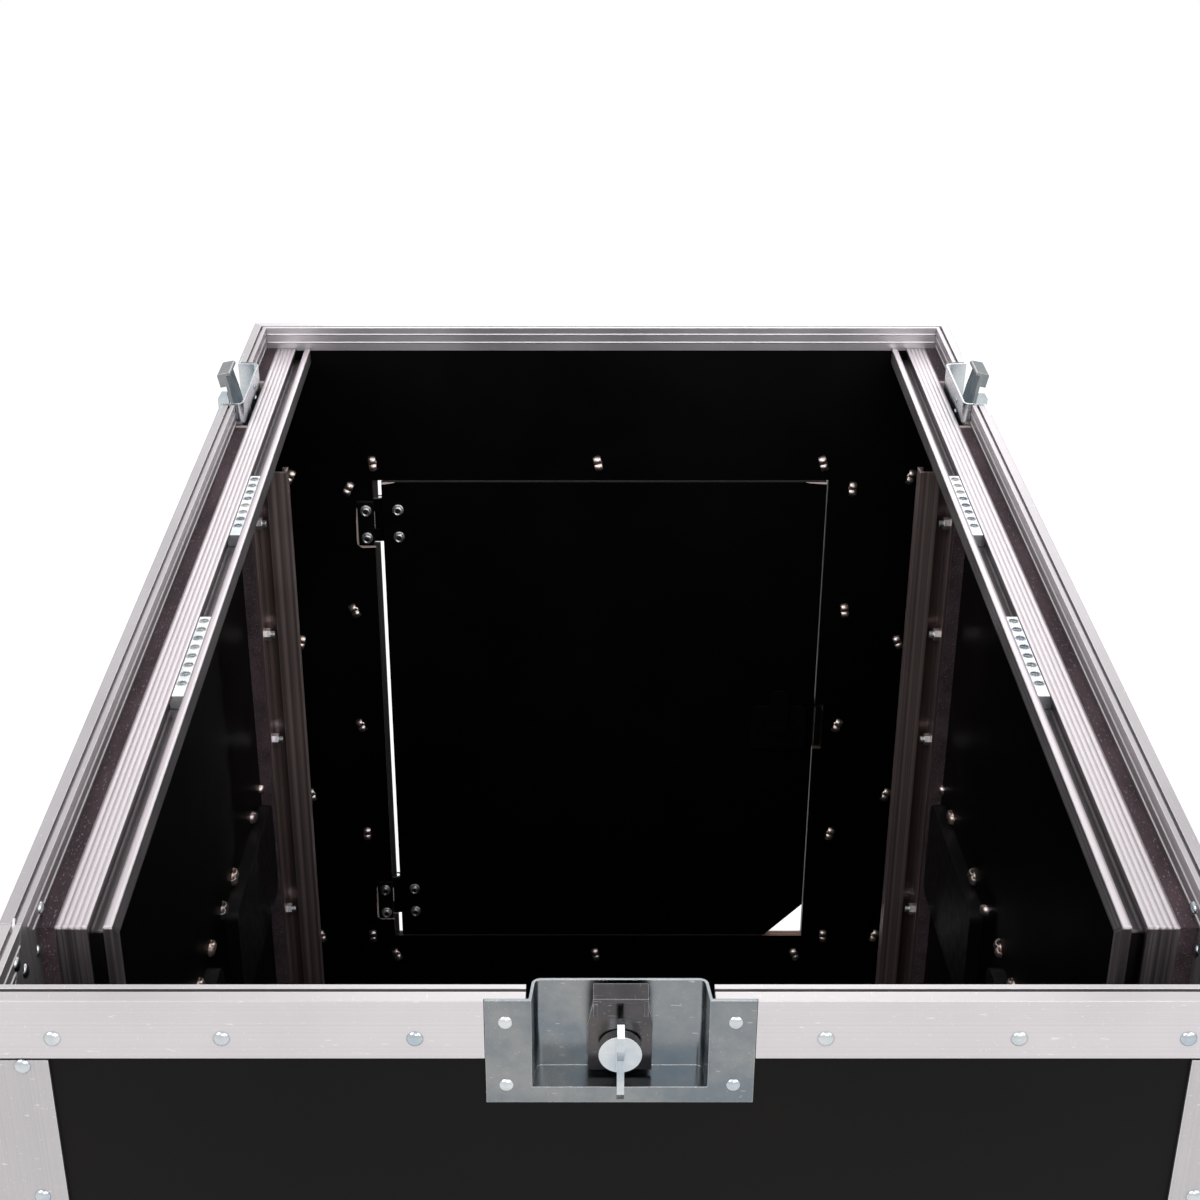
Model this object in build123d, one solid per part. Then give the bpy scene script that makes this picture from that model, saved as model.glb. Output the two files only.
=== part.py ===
from build123d import *
import math
import os

# Driving dimensions, in millimetres and degrees.
# The case stands with its front towards -Y and its rear door towards +Y.

# Case body
hole_line_spacing = 465.1
inside_depth = 680.0
front_height = 545.0
face_slope = 5.6
rail_recess = 16.0
front_recess = 18.0
lid_depth = 48.0
foot_height = 25.0
panel = 7.0
packer_thickness = 9.0
packer_height = 40.0

# Aluminium edge sections
leg = 1.5
web = 8.0
outer_leg = 30.0
rear_inner_leg = 19.0
groove_offset = 2.6
groove_width = 1.8
groove_depth = 2.5
tongue_play = 0.3
ridge_height = 0.6
ridge_spacing = 6.3
parting_gap = 0.3
seat_gap = 0.3

# Rack rails and their sliding threaded strips
slot_width = 7.1
lip_width = 4.0
flange_width = 14.5
rail_cover = 2.5
rail_floor = 2.0
channel_width = 10.0
channel_depth = 9.0
rail_leg = 20.0
rib_count = 4
rib_depth = 0.5
rear_rail_setback = 140.0
rear_rail_drop = 34.0
upper_bolt_count = 3
bolt_from_top = 39.0
bolt_spacing = 88.0
low_bolt_drop = 368.0
bolt_radius = 2.5
bolt_end = 3.0
nut_radius = 4.6
nut_height = 4.0
strip_play = 0.3
strip_sink = 0.6
strip_hole_pitch = 9.5
strip_hole_count = 8
strip_end_block = 8.0
strip_hole_radius = 2.5
lower_strip_offset = 190.0
upper_strip_offset = 375.0
front_strip_drop = 120.0

# Butterfly latches
dish_width = 112.0
dish_height = 52.0
recess_width = 73.0
recess_height = 44.0
recess_depth = 14.0
recess_flare = 1.5
recess_bend = 4.0
keeper_height = 27.0
keeper_recess = 21.0
keeper_play = 0.4
sheet = 1.2
valance_gap = 78.0
latch_shaft_radius = 3.5
latch_shaft_end = 0.6
running_play = 0.05
wing_drop = 26.0
wing_reach = 19.0
wing_stand = 11.0
wing_thickness = 3.0
wing_clear = 1.3
wing_dip = 3.5
wing_shoulder = 3.0
wing_flank = 1.0
hook_lean = 11.0
hook_rise = 12.7
hook_travel = 7.0
hook_base_width = 27.0
hook_top_width = 22.6
hook_plate = 2.2
hook_lip = 3.2
hook_lip_bend = 1.4
hook_cheek = 6.5
hook_cheek_sheet = 1.8
hook_cheek_low = 2.5
hook_gap = 1.0
hook_low = 35.0
slot_play = 0.7
wing_disc = 9.0
side_latch_setback = 106.0
lid_latch_height = 300.0
catch_bar = 2.5
catch_bar_height = 3.2
catch_bar_stand = 0.6

# Recessed carrying handles
handle_width = 150.0
handle_height = 80.0
handle_depth = 16.0
handle_flange = 12.0
handle_rear_setback = 241.0
handle_below_bend = 279.0
bail_radius = 4.0
bail_half_span = 50.0
bail_drop = 42.0
bail_bend = 9.0
grip_radius = 6.8
grip_end_gap = 2.0
pivot_lift = 3.0
ear_gap = 3.0
ear_half = 8.0
pivot_end = 6.5
handle_corner = 10.0
handle_rim_corner = 8.0

# Rear door
door_width = 357.0
door_above_floor = 67.7
door_below_rail = 111.0
opening_half_width = 182.5
hinge_gap = 7.0
door_play = 1.5
door_corner_cut = 32.0
frame_strip = 37.0
hinge_height = 37.0
hinge_pin_radius = 2.2
knuckle_radius = 4.5
hinge_leaf = 2.5
leaf_reach = 26.0
hinge_from_top = 35.5
hinge_from_bottom = 37.0
hinge_cutout = 13.2
door_latch_x = 152.0
door_latch_width = 46.0
door_latch_height = 40.0
door_latch_depth = 9.0
cam_length = 36.0
strike_depth = 7.0
frame_lip = 3.5
hinge_play = 1.0
hinge_block_gap = 0.5
hinge_block_stand = 2.0
door_latch_drop = 5.0
door_latch_flange = 7.0
door_latch_corner = 4.0
door_latch_play = 0.5
turn_half = 15.0
turn_thickness = 3.0
turn_stand = 2.5
turn_lift = 2.0
turn_disc_radius = 9.0
turn_disc_height = 2.4
cam_thickness = 2.5
cam_margin = 4.0
strike_margin = 3.0
strike_stand = 2.0

# Corners and feet
angle_leg = 30.0
cap_sheet = 1.2
cap_reach = 44.0
ball_radius = 13.0
ball_bulge = 7.0
foot_radius = 19.0
foot_inset = 68.0
foot_taper = 3.0

# How far a cutting shape runs past the surface it opens
cut_over = 1.0

# Worked out from the driving dimensions
slope = math.radians(face_slope)
hole_line = hole_line_spacing / 2
rail_inner = hole_line - slot_width / 2 - lip_width
rail_outer = hole_line + slot_width / 2 + flange_width
panel_in = rail_outer + packer_thickness
panel_out = panel_in + panel
wall = leg + panel + leg
half_in = panel_in - leg
half_out = panel_out + leg
rear_in = front_recess + inside_depth
rear_out = rear_in + wall
floor_z = foot_height + leg + panel
bend_z = floor_z + front_height
rail_depth = channel_depth + rail_floor
strip_length = strip_hole_count * strip_hole_pitch + strip_end_block
rail_end = (inside_depth - seat_gap) / math.cos(slope)
lean = math.radians(hook_lean)


def on_top(y, drop=0.0):
    # Height at y of the plane that lies drop below the top parting plane.
    rise = (y - front_recess) * math.tan(slope)
    return bend_z + (rail_recess - drop) / math.cos(slope) + rise


run_up = Vector(0, math.cos(slope), math.sin(slope))
run_down = Vector(0, 0, -1)
bend = Vector(0, front_recess, bend_z)
rail_face = Plane(origin=bend, x_dir=(1, 0, 0), z_dir=run_up)
top_corner = Vector(0, 0, on_top(0))


def bar(outline, plane, start, end):
    # A straight bar with this outline, from start to end along the plane's normal.
    face = make_face(Polyline(*outline, close=True))
    return extrude(plane.offset(start) * face, amount=end - start, dir=plane.z_dir)


def trim(part, point, normal):
    # What lies on the normal's side of a plane through the point.
    return split(part, bisect_by=Plane(origin=point, z_dir=normal), keep=Keep.TOP)


def block(x0, x1, y0, y1, z0, z1):
    box = Box(x1 - x0, y1 - y0, z1 - z0)
    return Pos((x0 + x1) / 2, (y0 + y1) / 2, (z0 + z1) / 2) * box


def mirrored(part):
    return mirror(part, about=Plane.YZ)


def mirrored_point(point):
    return Vector(-point.X, point.Y, point.Z)


def group(*parts):
    solids = []
    for part in parts:
        solids.extend(part.solids())
    return Compound(children=solids)


def v_grooves(start, end, count, at, depth, along_x):
    # Corner points of shallow grooves, spread evenly along one straight side.
    points = []
    half = abs(end - start) / (count + 1) / 4
    way = 1 if end > start else -1
    for index in range(count):
        middle = start + (end - start) * (index + 1) / (count + 1)
        for offset, sink in ((-half, 0), (0, depth), (half, 0)):
            place = middle + way * offset
            points.append((place, at + sink) if along_x else (at + sink, place))
    return points


# Aluminium edge sections, drawn across the wall and away from the parting plane


def valance_outline(inner, outer, tongue):
    # x runs from the inner face outwards, y from the parting plane into the wall.
    ridges = []
    for middle in (2 * ridge_spacing, ridge_spacing):
        if middle + ridge_height < inner:
            ridges += [
                (0, middle + ridge_height),
                (-ridge_height, middle),
                (0, middle - ridge_height),
            ]
    if tongue:
        side = groove_offset + tongue_play
        width = groove_width - 2 * tongue_play
        tip = -(groove_depth - tongue_play - parting_gap)
    else:
        side = groove_offset
        width = groove_width
        tip = groove_depth
    parting = [(0, 0), (side, 0), (side, tip), (side + width, tip), (side + width, 0)]
    body = [
        (wall, 0),
        (wall, outer),
        (wall - leg, outer),
        (wall - leg, web),
        (leg, web),
        (leg, inner),
        (0, inner),
    ]
    return parting + body + ridges


def valance(corner, outward, inward, start, end, inner, outer=outer_leg, tongue=False):
    # inward points from the parting plane into the wall that the section covers.
    outward = Vector(*outward)
    inward = Vector(*inward)
    plane = Plane(origin=corner, x_dir=outward, z_dir=outward.cross(inward))
    return bar(valance_outline(inner, outer, tongue), plane, start, end)


def bisector(first, second):
    # Normal of the mitre between two runs that leave one corner, towards the first.
    half = first + second
    normal = Vector(0, -half.Z, half.Y)
    return normal if normal.dot(first) > 0 else -normal


# Butterfly latches: each is drawn with x along the edge, y out of the wall and
# z across the parting plane, with z = 0 on that plane and y = 0 on the panel.


def latch_plane(point, outward, across):
    outward = Vector(*outward)
    across = Vector(*across)
    return Plane(origin=point, x_dir=outward.cross(across), z_dir=across)


def recess_face(half, depth, bend_radius):
    points = [
        (-half - recess_flare, leg + cut_over),
        (-half, -depth),
        (half, -depth),
        (half + recess_flare, leg + cut_over),
    ]
    face = make_face(Polyline(*points, close=True))
    return fillet(face.vertices().group_by(Axis.Y)[0], bend_radius)


def half_dish(height, recess):
    # A pressed half dish that is open at the parting plane.
    flange = block(-dish_width / 2, dish_width / 2, 0, leg, -height, 0)
    half = recess_width / 2
    shell = extrude(recess_face(half, recess_depth, recess_bend), amount=recess + sheet)
    inner = recess_face(half - sheet, recess_depth - sheet, recess_bend - sheet)
    hollow = extrude(inner, amount=recess)
    above = block(-dish_width, dish_width, leg, height, -height * 2, height)
    shell = Pos(0, 0, -recess - sheet) * shell
    hollow = Pos(0, 0, -recess) * hollow
    return flange + (shell - above) - hollow


def latch_dish():
    bore = Cylinder(latch_shaft_radius + running_play, recess_depth)
    bore = Pos(0, -recess_depth, -wing_drop) * Rot(90, 0, 0) * bore
    return half_dish(dish_height, recess_height) - bore


def keeper_dish():
    # The half on the lid: a shorter pressing turned over, with a bar for the hook.
    raised_tip = hook_rise * math.sin(lean) - hook_lip * math.cos(lean) - hook_gap
    top = raised_tip - keeper_play
    half = recess_width / 2
    low = catch_bar_stand
    bar_piece = block(-half, half, top - catch_bar_height, top, low, low + catch_bar)
    return mirror(half_dish(keeper_height, keeper_recess), about=Plane.XY) + bar_piece


def latch_hook(lift):
    # The strap leans outwards and slides along its own length.
    base = hook_base_width / 2
    top = hook_top_width / 2
    shoulder = hook_rise / 2
    outline = [(-base, -hook_low), (base, -hook_low), (base, -shoulder), (top, shoulder)]
    outline += [(top, hook_rise), (-top, hook_rise), (-top, shoulder), (-base, -shoulder)]
    front = Plane(origin=(0, 0, 0), x_dir=(1, 0, 0), z_dir=(0, -1, 0))
    strap = bar(outline, front, -hook_plate, 0)
    shaft_at = hook_plate / 2 * math.tan(lean) - wing_drop / math.cos(lean)
    slot_half = latch_shaft_radius + slot_play
    slot = SlotOverall(hook_travel + 2 * slot_half, 2 * slot_half, rotation=90)
    cut = extrude(front * Pos(0, shaft_at + hook_travel / 2) * slot, amount=hook_low, both=True)
    lip = block(-top, top, -hook_lip, hook_cheek, hook_rise - hook_plate, hook_rise)
    lip = fillet(lip.edges().filter_by(Axis.X).group_by(Axis.Z)[-1], hook_lip_bend)
    cheek_top = hook_rise - hook_plate / 2
    cheek = block(top - hook_cheek_sheet, top, hook_plate, hook_cheek, hook_cheek_low, cheek_top)
    hook = strap - cut + lip + cheek + mirrored(cheek)
    along = (0, math.sin(lean), math.cos(lean))
    leaning = Plane(origin=(0, -hook_gap, 0), x_dir=(1, 0, 0), z_dir=along)
    return leaning * Pos(0, 0, lift) * hook


def turned(radius, low, high):
    # A round piece across the panel, on the wing's axis.
    middle = Pos(0, (low + high) / 2, -wing_drop)
    return middle * Rot(90, 0, 0) * Cylinder(radius, high - low)


def latch_wing():
    # A two-lobed thumb turn on its shaft.
    half = wing_reach
    low = leg + wing_clear
    dip = wing_stand - wing_dip
    shoulder = wing_stand - wing_shoulder
    outline = [(-half, low + wing_flank), (-half, shoulder), (-half * 0.75, wing_stand)]
    outline += [(-half * 0.4, wing_stand), (0, dip), (half * 0.4, wing_stand)]
    outline += [(half * 0.75, wing_stand), (half, shoulder), (half, low + wing_flank)]
    outline += [(half * 0.7, low), (-half * 0.7, low)]
    flat = Plane(origin=(0, 0, -wing_drop), x_dir=(0, 0, -1), z_dir=(1, 0, 0))
    blade = bar(outline, flat, -wing_thickness / 2, wing_thickness / 2)
    strap_face = hook_plate / math.cos(lean) - hook_gap
    strap_face -= (wing_drop - wing_disc) * math.tan(lean)
    disc = turned(wing_disc, strap_face + seat_gap, low + wing_flank / 2)
    shaft = turned(latch_shaft_radius, -recess_depth - latch_shaft_end, low)
    return blade + disc + shaft


def edge_cut(height):
    # Room for one half dish in an edge section.
    half = valance_gap / 2
    side = dish_width / 2 + seat_gap
    above = wall / 2
    through = block(-half, half, -wall * 2, wall, -height - seat_gap, above)
    outer = block(-side, side, 0, wall, -height - seat_gap, above)
    return through + outer


def panel_cut():
    half = recess_width / 2 + recess_flare + seat_gap
    deep = -recess_height - sheet - seat_gap
    return block(-half, half, -panel - packer_thickness - cut_over, cut_over, deep, wall)


latch_tilt = Vector(0, -math.sin(slope), math.cos(slope))
latch_foot = bend + run_up * (rail_end - side_latch_setback) + latch_tilt * rail_recess
lid_front_y = -lid_depth + leg
side_latch = {}
lid_latch = {}
lid_keeper = {}
for name, sign in (("left", -1), ("right", 1)):
    at_panel = Vector(sign * panel_out, 0, 0)
    side_latch[name] = latch_plane(latch_foot + at_panel, (sign, 0, 0), latch_tilt)
    edge = at_panel + Vector(0, 0, lid_latch_height)
    lid_latch[name] = latch_plane(edge, (sign, 0, 0), (0, -1, 0))
    lid_keeper[name] = latch_plane(edge - Vector(0, parting_gap, 0), (sign, 0, 0), (0, -1, 0))
centre_latch = latch_plane(
    Vector(0, lid_front_y, on_top(lid_front_y)), (0, -1, 0), (0, 0, 1)
)


# Carrying handles, drawn with x along the case, y out of the wall and z up

handle_y = {"rear": rear_in - handle_rear_setback}
handle_y["front"] = rear_out - handle_y["rear"]
handle_z = bend_z - handle_below_bend
pivot_y = -handle_depth + sheet + grip_radius + seat_gap
pivot_z = bail_drop / 2 + pivot_lift
ear_inner = bail_half_span + bail_bend + ear_gap


def handle_plane(side, end):
    sign = -1 if side == "left" else 1
    return latch_plane(
        Vector(sign * panel_out, handle_y[end], handle_z), (sign, 0, 0), (0, 0, 1)
    )


def rounded_box(width, height, low, high, radius):
    face = RectangleRounded(width, height, radius)
    plane = Plane(origin=(0, low, 0), x_dir=(1, 0, 0), z_dir=(0, 1, 0))
    return extrude(plane * face, amount=high - low)


def handle_dish():
    rim = 2 * handle_flange
    flange = rounded_box(handle_width + rim, handle_height + rim, 0, leg, handle_rim_corner)
    shell = rounded_box(handle_width, handle_height, -handle_depth, leg / 3, handle_corner)
    wide = handle_width - 2 * sheet
    tall = handle_height - 2 * sheet
    hollow = rounded_box(wide, tall, sheet - handle_depth, leg + cut_over, handle_corner - sheet)
    dish = flange + shell - hollow
    ear_outer = handle_width / 2 - sheet / 2
    ear = block(ear_inner, ear_outer, sheet / 2 - handle_depth, -sheet, -ear_half, ear_half)
    ear = Pos(0, 0, pivot_z) * ear
    bore = Cylinder(bail_radius + running_play, 2 * (pivot_end + seat_gap))
    bore = Pos(ear_inner, pivot_y, pivot_z) * Rot(0, 90, 0) * bore
    ear = ear - bore
    return dish + ear + mirrored(ear)


def handle_bail():
    reach = ear_inner + pivot_end
    side = bail_half_span
    low = pivot_z - bail_drop
    path = FilletPolyline(
        (-reach, pivot_y, pivot_z),
        (-side, pivot_y, pivot_z),
        (-side, pivot_y, low),
        (side, pivot_y, low),
        (side, pivot_y, pivot_z),
        (reach, pivot_y, pivot_z),
        radius=bail_bend,
    )
    start = Plane(origin=(-reach, pivot_y, pivot_z), z_dir=(1, 0, 0))
    rod = sweep(start * Circle(bail_radius), path=path)
    grip = Cylinder(grip_radius, 2 * (side - bail_bend - grip_end_gap))
    return rod + Pos(0, pivot_y, low) * Rot(0, 90, 0) * grip


def handle_opening():
    wide = handle_width + 2 * hinge_block_gap
    tall = handle_height + 2 * hinge_block_gap
    return rounded_box(wide, tall, -panel - cut_over, cut_over, handle_corner + hinge_block_gap)


# Panels


def side_panel(side):
    sign = -1 if side == "left" else 1
    top_drop = web
    outline = [
        (web, foot_height + leg),
        (rear_out - leg, foot_height + leg),
        (rear_out - leg, on_top(rear_out - leg, top_drop)),
        (web, on_top(web, top_drop)),
    ]
    plane = Plane(origin=(sign * panel_in, 0, 0), x_dir=(0, 1, 0), z_dir=(1, 0, 0))
    start, end = (0, panel) if sign > 0 else (-panel, 0)
    board = bar(outline, plane, start, end)
    board -= side_latch[side] * panel_cut()
    board -= lid_latch[side] * panel_cut()
    for end in handle_y:
        board -= handle_plane(side, end) * handle_opening()
    return board


def bottom_panel():
    low = foot_height + leg
    return block(-panel_in, panel_in, web, rear_in + leg, low, low + panel)


# Rear door and its opening

door_top = bend_z + inside_depth * math.tan(slope) - door_below_rail
door_bottom = floor_z + door_above_floor
door_left = -opening_half_width + hinge_gap
door_right = door_left + door_width
door_in = rear_in + leg
door_out = door_in + panel
pin_x = -opening_half_width + hinge_gap / 2
pin_y = door_out + knuckle_radius
hinge_z = {
    "upper": door_top - hinge_from_top,
    "lower": door_bottom + hinge_from_bottom,
}
door_latch_z = (door_top + door_bottom) / 2 - door_latch_drop


def rear_panel():
    top = on_top(rear_out) - web
    board = block(-panel_in, panel_in, door_in, door_out, foot_height + leg, top)
    low = door_bottom - door_play
    high = door_top + door_play
    half = opening_half_width
    deep = (door_in - cut_over, door_out + cut_over)
    board -= block(-half, half, *deep, low, high)
    reach = hinge_height / 2 + hinge_play
    hinge_notch = block(-half - hinge_cutout, -half, *deep, -reach, reach)
    for z in hinge_z.values():
        board -= Pos(0, 0, z) * hinge_notch
    reach = door_latch_height / 2 + hinge_play
    return board - Pos(0, 0, door_latch_z) * block(half, half + strike_depth, *deep, -reach, reach)


def rear_door_panel():
    cut = door_corner_cut
    outline = [
        (door_left, door_bottom),
        (door_right - cut, door_bottom),
        (door_right, door_bottom + cut),
        (door_right, door_top),
        (door_left, door_top),
    ]
    plane = Plane(origin=(0, door_out, 0), x_dir=(1, 0, 0), z_dir=(0, -1, 0))
    board = bar(outline, plane, 0, panel)
    wide = door_latch_width / 2 + door_latch_play
    tall = door_latch_height / 2 + door_latch_play
    hole = block(-wide, wide, door_in - cut_over, door_out + cut_over, -tall, tall)
    return board - Pos(door_latch_x, 0, door_latch_z) * hole


def door_frame_profile():
    # Four flat strips, mitred at the corners of the opening, on the outer face.
    low = door_bottom - door_play
    high = door_top + door_play
    inner = [
        (-opening_half_width, low),
        (opening_half_width, low),
        (opening_half_width, high),
        (-opening_half_width, high),
    ]
    strips = []
    middle_z = (low + high) / 2
    outer = []
    for x, z in inner:
        side = math.copysign(frame_strip, x)
        rise = math.copysign(frame_strip, z - middle_z)
        outer.append((x + side, z + rise))
    inner[0] = (inner[0][0] + frame_lip, low)
    inner[3] = (inner[3][0] + frame_lip, high)
    plane = Plane(origin=(0, door_out + leg, 0), x_dir=(1, 0, 0), z_dir=(0, -1, 0))
    for index in range(4):
        following = (index + 1) % 4
        corners = [inner[index], inner[following], outer[following], outer[index]]
        strips.append(bar(corners, plane, 0, leg))
    reach = hinge_height / 2 + hinge_play
    for z in hinge_z.values():
        room = block(pin_x - leaf_reach, 0, door_in, pin_y, z - reach, z + reach)
        strips = [strip - room for strip in strips]
    return group(*strips)


def knuckles(ranges):
    # Knuckle rings on the pin's line, each from low to high about the hinge's middle.
    rings = []
    for low, high in ranges:
        ring = Cylinder(knuckle_radius, high - low)
        rings.append(Pos(pin_x, pin_y, (low + high) / 2) * ring)
    whole = rings[0]
    for ring in rings[1:]:
        whole += ring
    return whole


def hinge_leaf_pair(z):
    half = hinge_height / 2
    third = hinge_height * 0.2
    bore = Pos(pin_x, pin_y, 0) * Cylinder(hinge_pin_radius + running_play, hinge_height * 2)
    clear = knuckle_radius + seat_gap
    split_at = third + seat_gap
    ranges = [(-half, -split_at), (split_at, half)]
    leaf_out = door_out + hinge_leaf
    plate = block(pin_x - leaf_reach + hinge_play, pin_x, door_out, leaf_out, -half, half)
    past_pin = (pin_x - clear, pin_x + clear, door_in, pin_y + clear)
    room = block(*past_pin, -split_at, split_at)
    body_right = -opening_half_width - hinge_block_gap
    body_left = -opening_half_width - hinge_cutout + hinge_block_gap
    body = block(body_left, body_right, door_in - hinge_block_stand, door_out, -half, half)
    frame_side = plate + knuckles(ranges) - room + body - bore
    plate = block(pin_x, pin_x + leaf_reach, door_out, leaf_out, -half, half)
    middle = knuckles([(-third, third)])
    for low, high in ranges:
        plate -= block(*past_pin, low - cut_over, high + cut_over)
    door_side = plate + middle - bore
    pin = Pos(pin_x, pin_y, 0) * Cylinder(hinge_pin_radius, hinge_height)
    place = Pos(0, 0, z)
    return place * frame_side, place * door_side, place * pin


def door_strike():
    # A block in the rear panel's notch, standing proud of it for the cam to pull on.
    reach = door_latch_height / 2 - strike_margin
    near = opening_half_width + door_latch_play
    far = near + strike_depth - 2 * cut_over
    plate = block(near, far, door_in - strike_stand, door_out, -reach, reach)
    return Pos(0, 0, door_latch_z) * plate


def door_latch_dish():
    wide = door_latch_width
    tall = door_latch_height
    rim = 2 * door_latch_flange
    corner = door_latch_corner
    flange = rounded_box(wide + rim, tall + rim, 0, leg, corner + cut_over)
    shell = rounded_box(wide, tall, -door_latch_depth, 0, corner)
    deep = sheet - door_latch_depth
    hollow = rounded_box(wide - 2 * sheet, tall - 2 * sheet, deep, leg + cut_over, corner - cut_over)
    bore = Rot(90, 0, 0) * Cylinder(latch_shaft_radius + running_play, door_latch_depth * 4)
    dish = flange + shell - hollow - bore
    return Pos(door_latch_x, door_out, door_latch_z) * dish


def door_latch_handle():
    # Thumb turn in the dish, upright when the door is free.
    floor_y = sheet - door_latch_depth
    half = turn_thickness / 2
    blade = block(-half, half, floor_y + turn_lift, turn_stand, -turn_half, turn_half)
    blade = fillet(blade.edges().filter_by(Axis.X), turn_thickness)
    disc = Rot(90, 0, 0) * Cylinder(turn_disc_radius, turn_disc_height)
    disc = Pos(0, floor_y + seat_gap + turn_disc_height / 2, 0) * disc
    back = -door_latch_depth - seat_gap - cam_thickness
    front = floor_y + turn_lift / 2
    shaft = Rot(90, 0, 0) * Cylinder(latch_shaft_radius, front - back)
    shaft = Pos(0, (front + back) / 2, 0) * shaft
    return Pos(door_latch_x, door_out, door_latch_z) * (blade + disc + shaft)


def door_latch_cam():
    # Arm on the shaft's inner end, upright when the door is free.
    front = -door_latch_depth - seat_gap
    side = latch_shaft_radius + cam_margin
    arm = block(-side, side, front - cam_thickness, front, -side, cam_length)
    arm = fillet(arm.edges().filter_by(Axis.Y), side - seat_gap)
    bore = Rot(90, 0, 0) * Cylinder(latch_shaft_radius, door_latch_depth * 4)
    return Pos(door_latch_x, door_out, door_latch_z) * (arm - bore)


# Rack rails, drawn across the right side with y running down from the rail's face


def rail_outline():
    in_wall = hole_line - channel_width / 2
    out_wall = hole_line + channel_width / 2
    slot_in = hole_line - slot_width / 2
    slot_out = hole_line + slot_width / 2
    mouth = [(rail_inner, 0), (slot_in, 0), (slot_in, rail_cover), (in_wall, rail_cover)]
    floor_line = [(in_wall, channel_depth), (out_wall, channel_depth)]
    outer = [(out_wall, rail_cover), (slot_out, rail_cover), (slot_out, 0)]
    ribs = v_grooves(slot_out, rail_outer, rib_count, 0, rib_depth, True)
    flange = [(rail_outer, 0), (rail_outer, rail_leg), (rail_outer - rail_floor, rail_leg)]
    back = [(rail_outer - rail_floor, rail_cover), (out_wall + rail_floor, rail_cover)]
    under = [(out_wall + rail_floor, rail_depth), (rail_inner, rail_depth)]
    side = v_grooves(rail_depth, 0, 2, rail_inner, rib_depth, False)
    return mouth + floor_line + outer + ribs + flange + back + under + side


def slanted_rail():
    long_bar = bar(rail_outline(), rail_face, -rail_depth * 3, rail_end + rail_leg)
    long_bar = trim(long_bar, bend, bisector(run_up, run_down))
    return trim(long_bar, (0, rear_in - seat_gap, 0), (0, -1, 0))


def front_rail():
    plane = Plane(origin=(0, front_recess, 0), x_dir=(1, 0, 0), z_dir=(0, 0, 1))
    long_bar = bar(rail_outline(), plane, floor_z, bend_z + rail_depth * 3)
    return trim(long_bar, bend, bisector(run_down, run_up))


rear_rail_y = rear_in - rear_rail_setback + rail_cover
rear_rail_top = on_top(rear_rail_y, rail_recess) - rear_rail_drop


def rear_rail():
    plane = Plane(origin=(0, rear_rail_y, 0), x_dir=(1, 0, 0), z_dir=(0, 0, -1))
    return bar(rail_outline(), plane, -rear_rail_top, -floor_z)


def rear_packer():
    front = rear_rail_y - rail_leg - rail_floor
    board = block(rail_outer, panel_in, front, rear_rail_y, floor_z, bend_z + packer_height)
    return trim(board, bend - latch_tilt * (packer_height + seat_gap), -latch_tilt)


def packer(side):
    deep = packer_height
    outline = [(rail_outer, 0), (panel_in, 0), (panel_in, deep), (rail_outer, deep)]
    reach = packer_height * 3
    upper = bar(outline, rail_face, -reach, rail_end + packer_height)
    upper = trim(upper, bend, bisector(run_up, run_down))
    upper = trim(upper, (0, rear_in - seat_gap, 0), (0, -1, 0))
    plane = Plane(origin=(0, front_recess, 0), x_dir=(1, 0, 0), z_dir=(0, 0, 1))
    lower = bar(outline, plane, floor_z, bend_z + reach)
    lower = trim(lower, bend, bisector(run_down, run_up))
    upper -= side_latch["right"] * panel_cut()
    lower -= lid_latch["right"] * panel_cut()
    both = group(upper, lower)
    return both if side == "right" else mirrored(both)


def strip_outline():
    neck = slot_width / 2 - strip_play
    head = channel_width / 2 - strip_play
    top = strip_sink
    shoulder = rail_cover + strip_play
    low = channel_depth - strip_play
    right = [(neck, top), (neck, shoulder), (head, shoulder), (head, low)]
    left = [(-x, y) for x, y in reversed(right)]
    return [(hole_line + x, y) for x, y in right + left]


def threaded_strip(plane, start):
    # A nut strip with a plain block at its start and a row of tapped holes.
    strip = bar(strip_outline(), plane, start, start + strip_length)
    for index in range(strip_hole_count):
        at = start + strip_end_block + strip_hole_pitch * (index + 0.5)
        drill = Plane(
            origin=plane.offset(at).from_local_coords((hole_line, 0, 0)),
            x_dir=plane.x_dir,
            z_dir=plane.y_dir,
        )
        strip -= extrude(drill * Circle(strip_hole_radius), amount=channel_depth)
    return strip


front_rail_plane = Plane(origin=bend, x_dir=(1, 0, 0), z_dir=(0, 0, 1))


# Valances of the body and the lid


def slanted_valance(side):
    corner = Vector(half_in, 0, 0) + bend + latch_tilt * rail_recess
    inner = rail_recess - seat_gap
    down = -latch_tilt
    piece = valance(corner, (1, 0, 0), down, -wall * 6, rail_end + wall * 3, inner)
    piece = trim(piece, top_corner, bisector(run_up, run_down))
    piece = trim(piece, (half_in, rear_in, 0), (1, -1, 0))
    piece -= side_latch["right"] * edge_cut(dish_height)
    return piece if side == "right" else mirrored(piece)


def rear_valance():
    corner = (0, rear_in, on_top(rear_out))
    piece = valance(corner, (0, 1, 0), (0, 0, -1), -half_out, half_out, rear_inner_leg)
    piece = trim(piece, top_corner, -latch_tilt)
    piece = trim(piece, (half_in, rear_in, 0), (-1, 1, 0))
    return trim(piece, (-half_in, rear_in, 0), (1, 1, 0))


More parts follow.
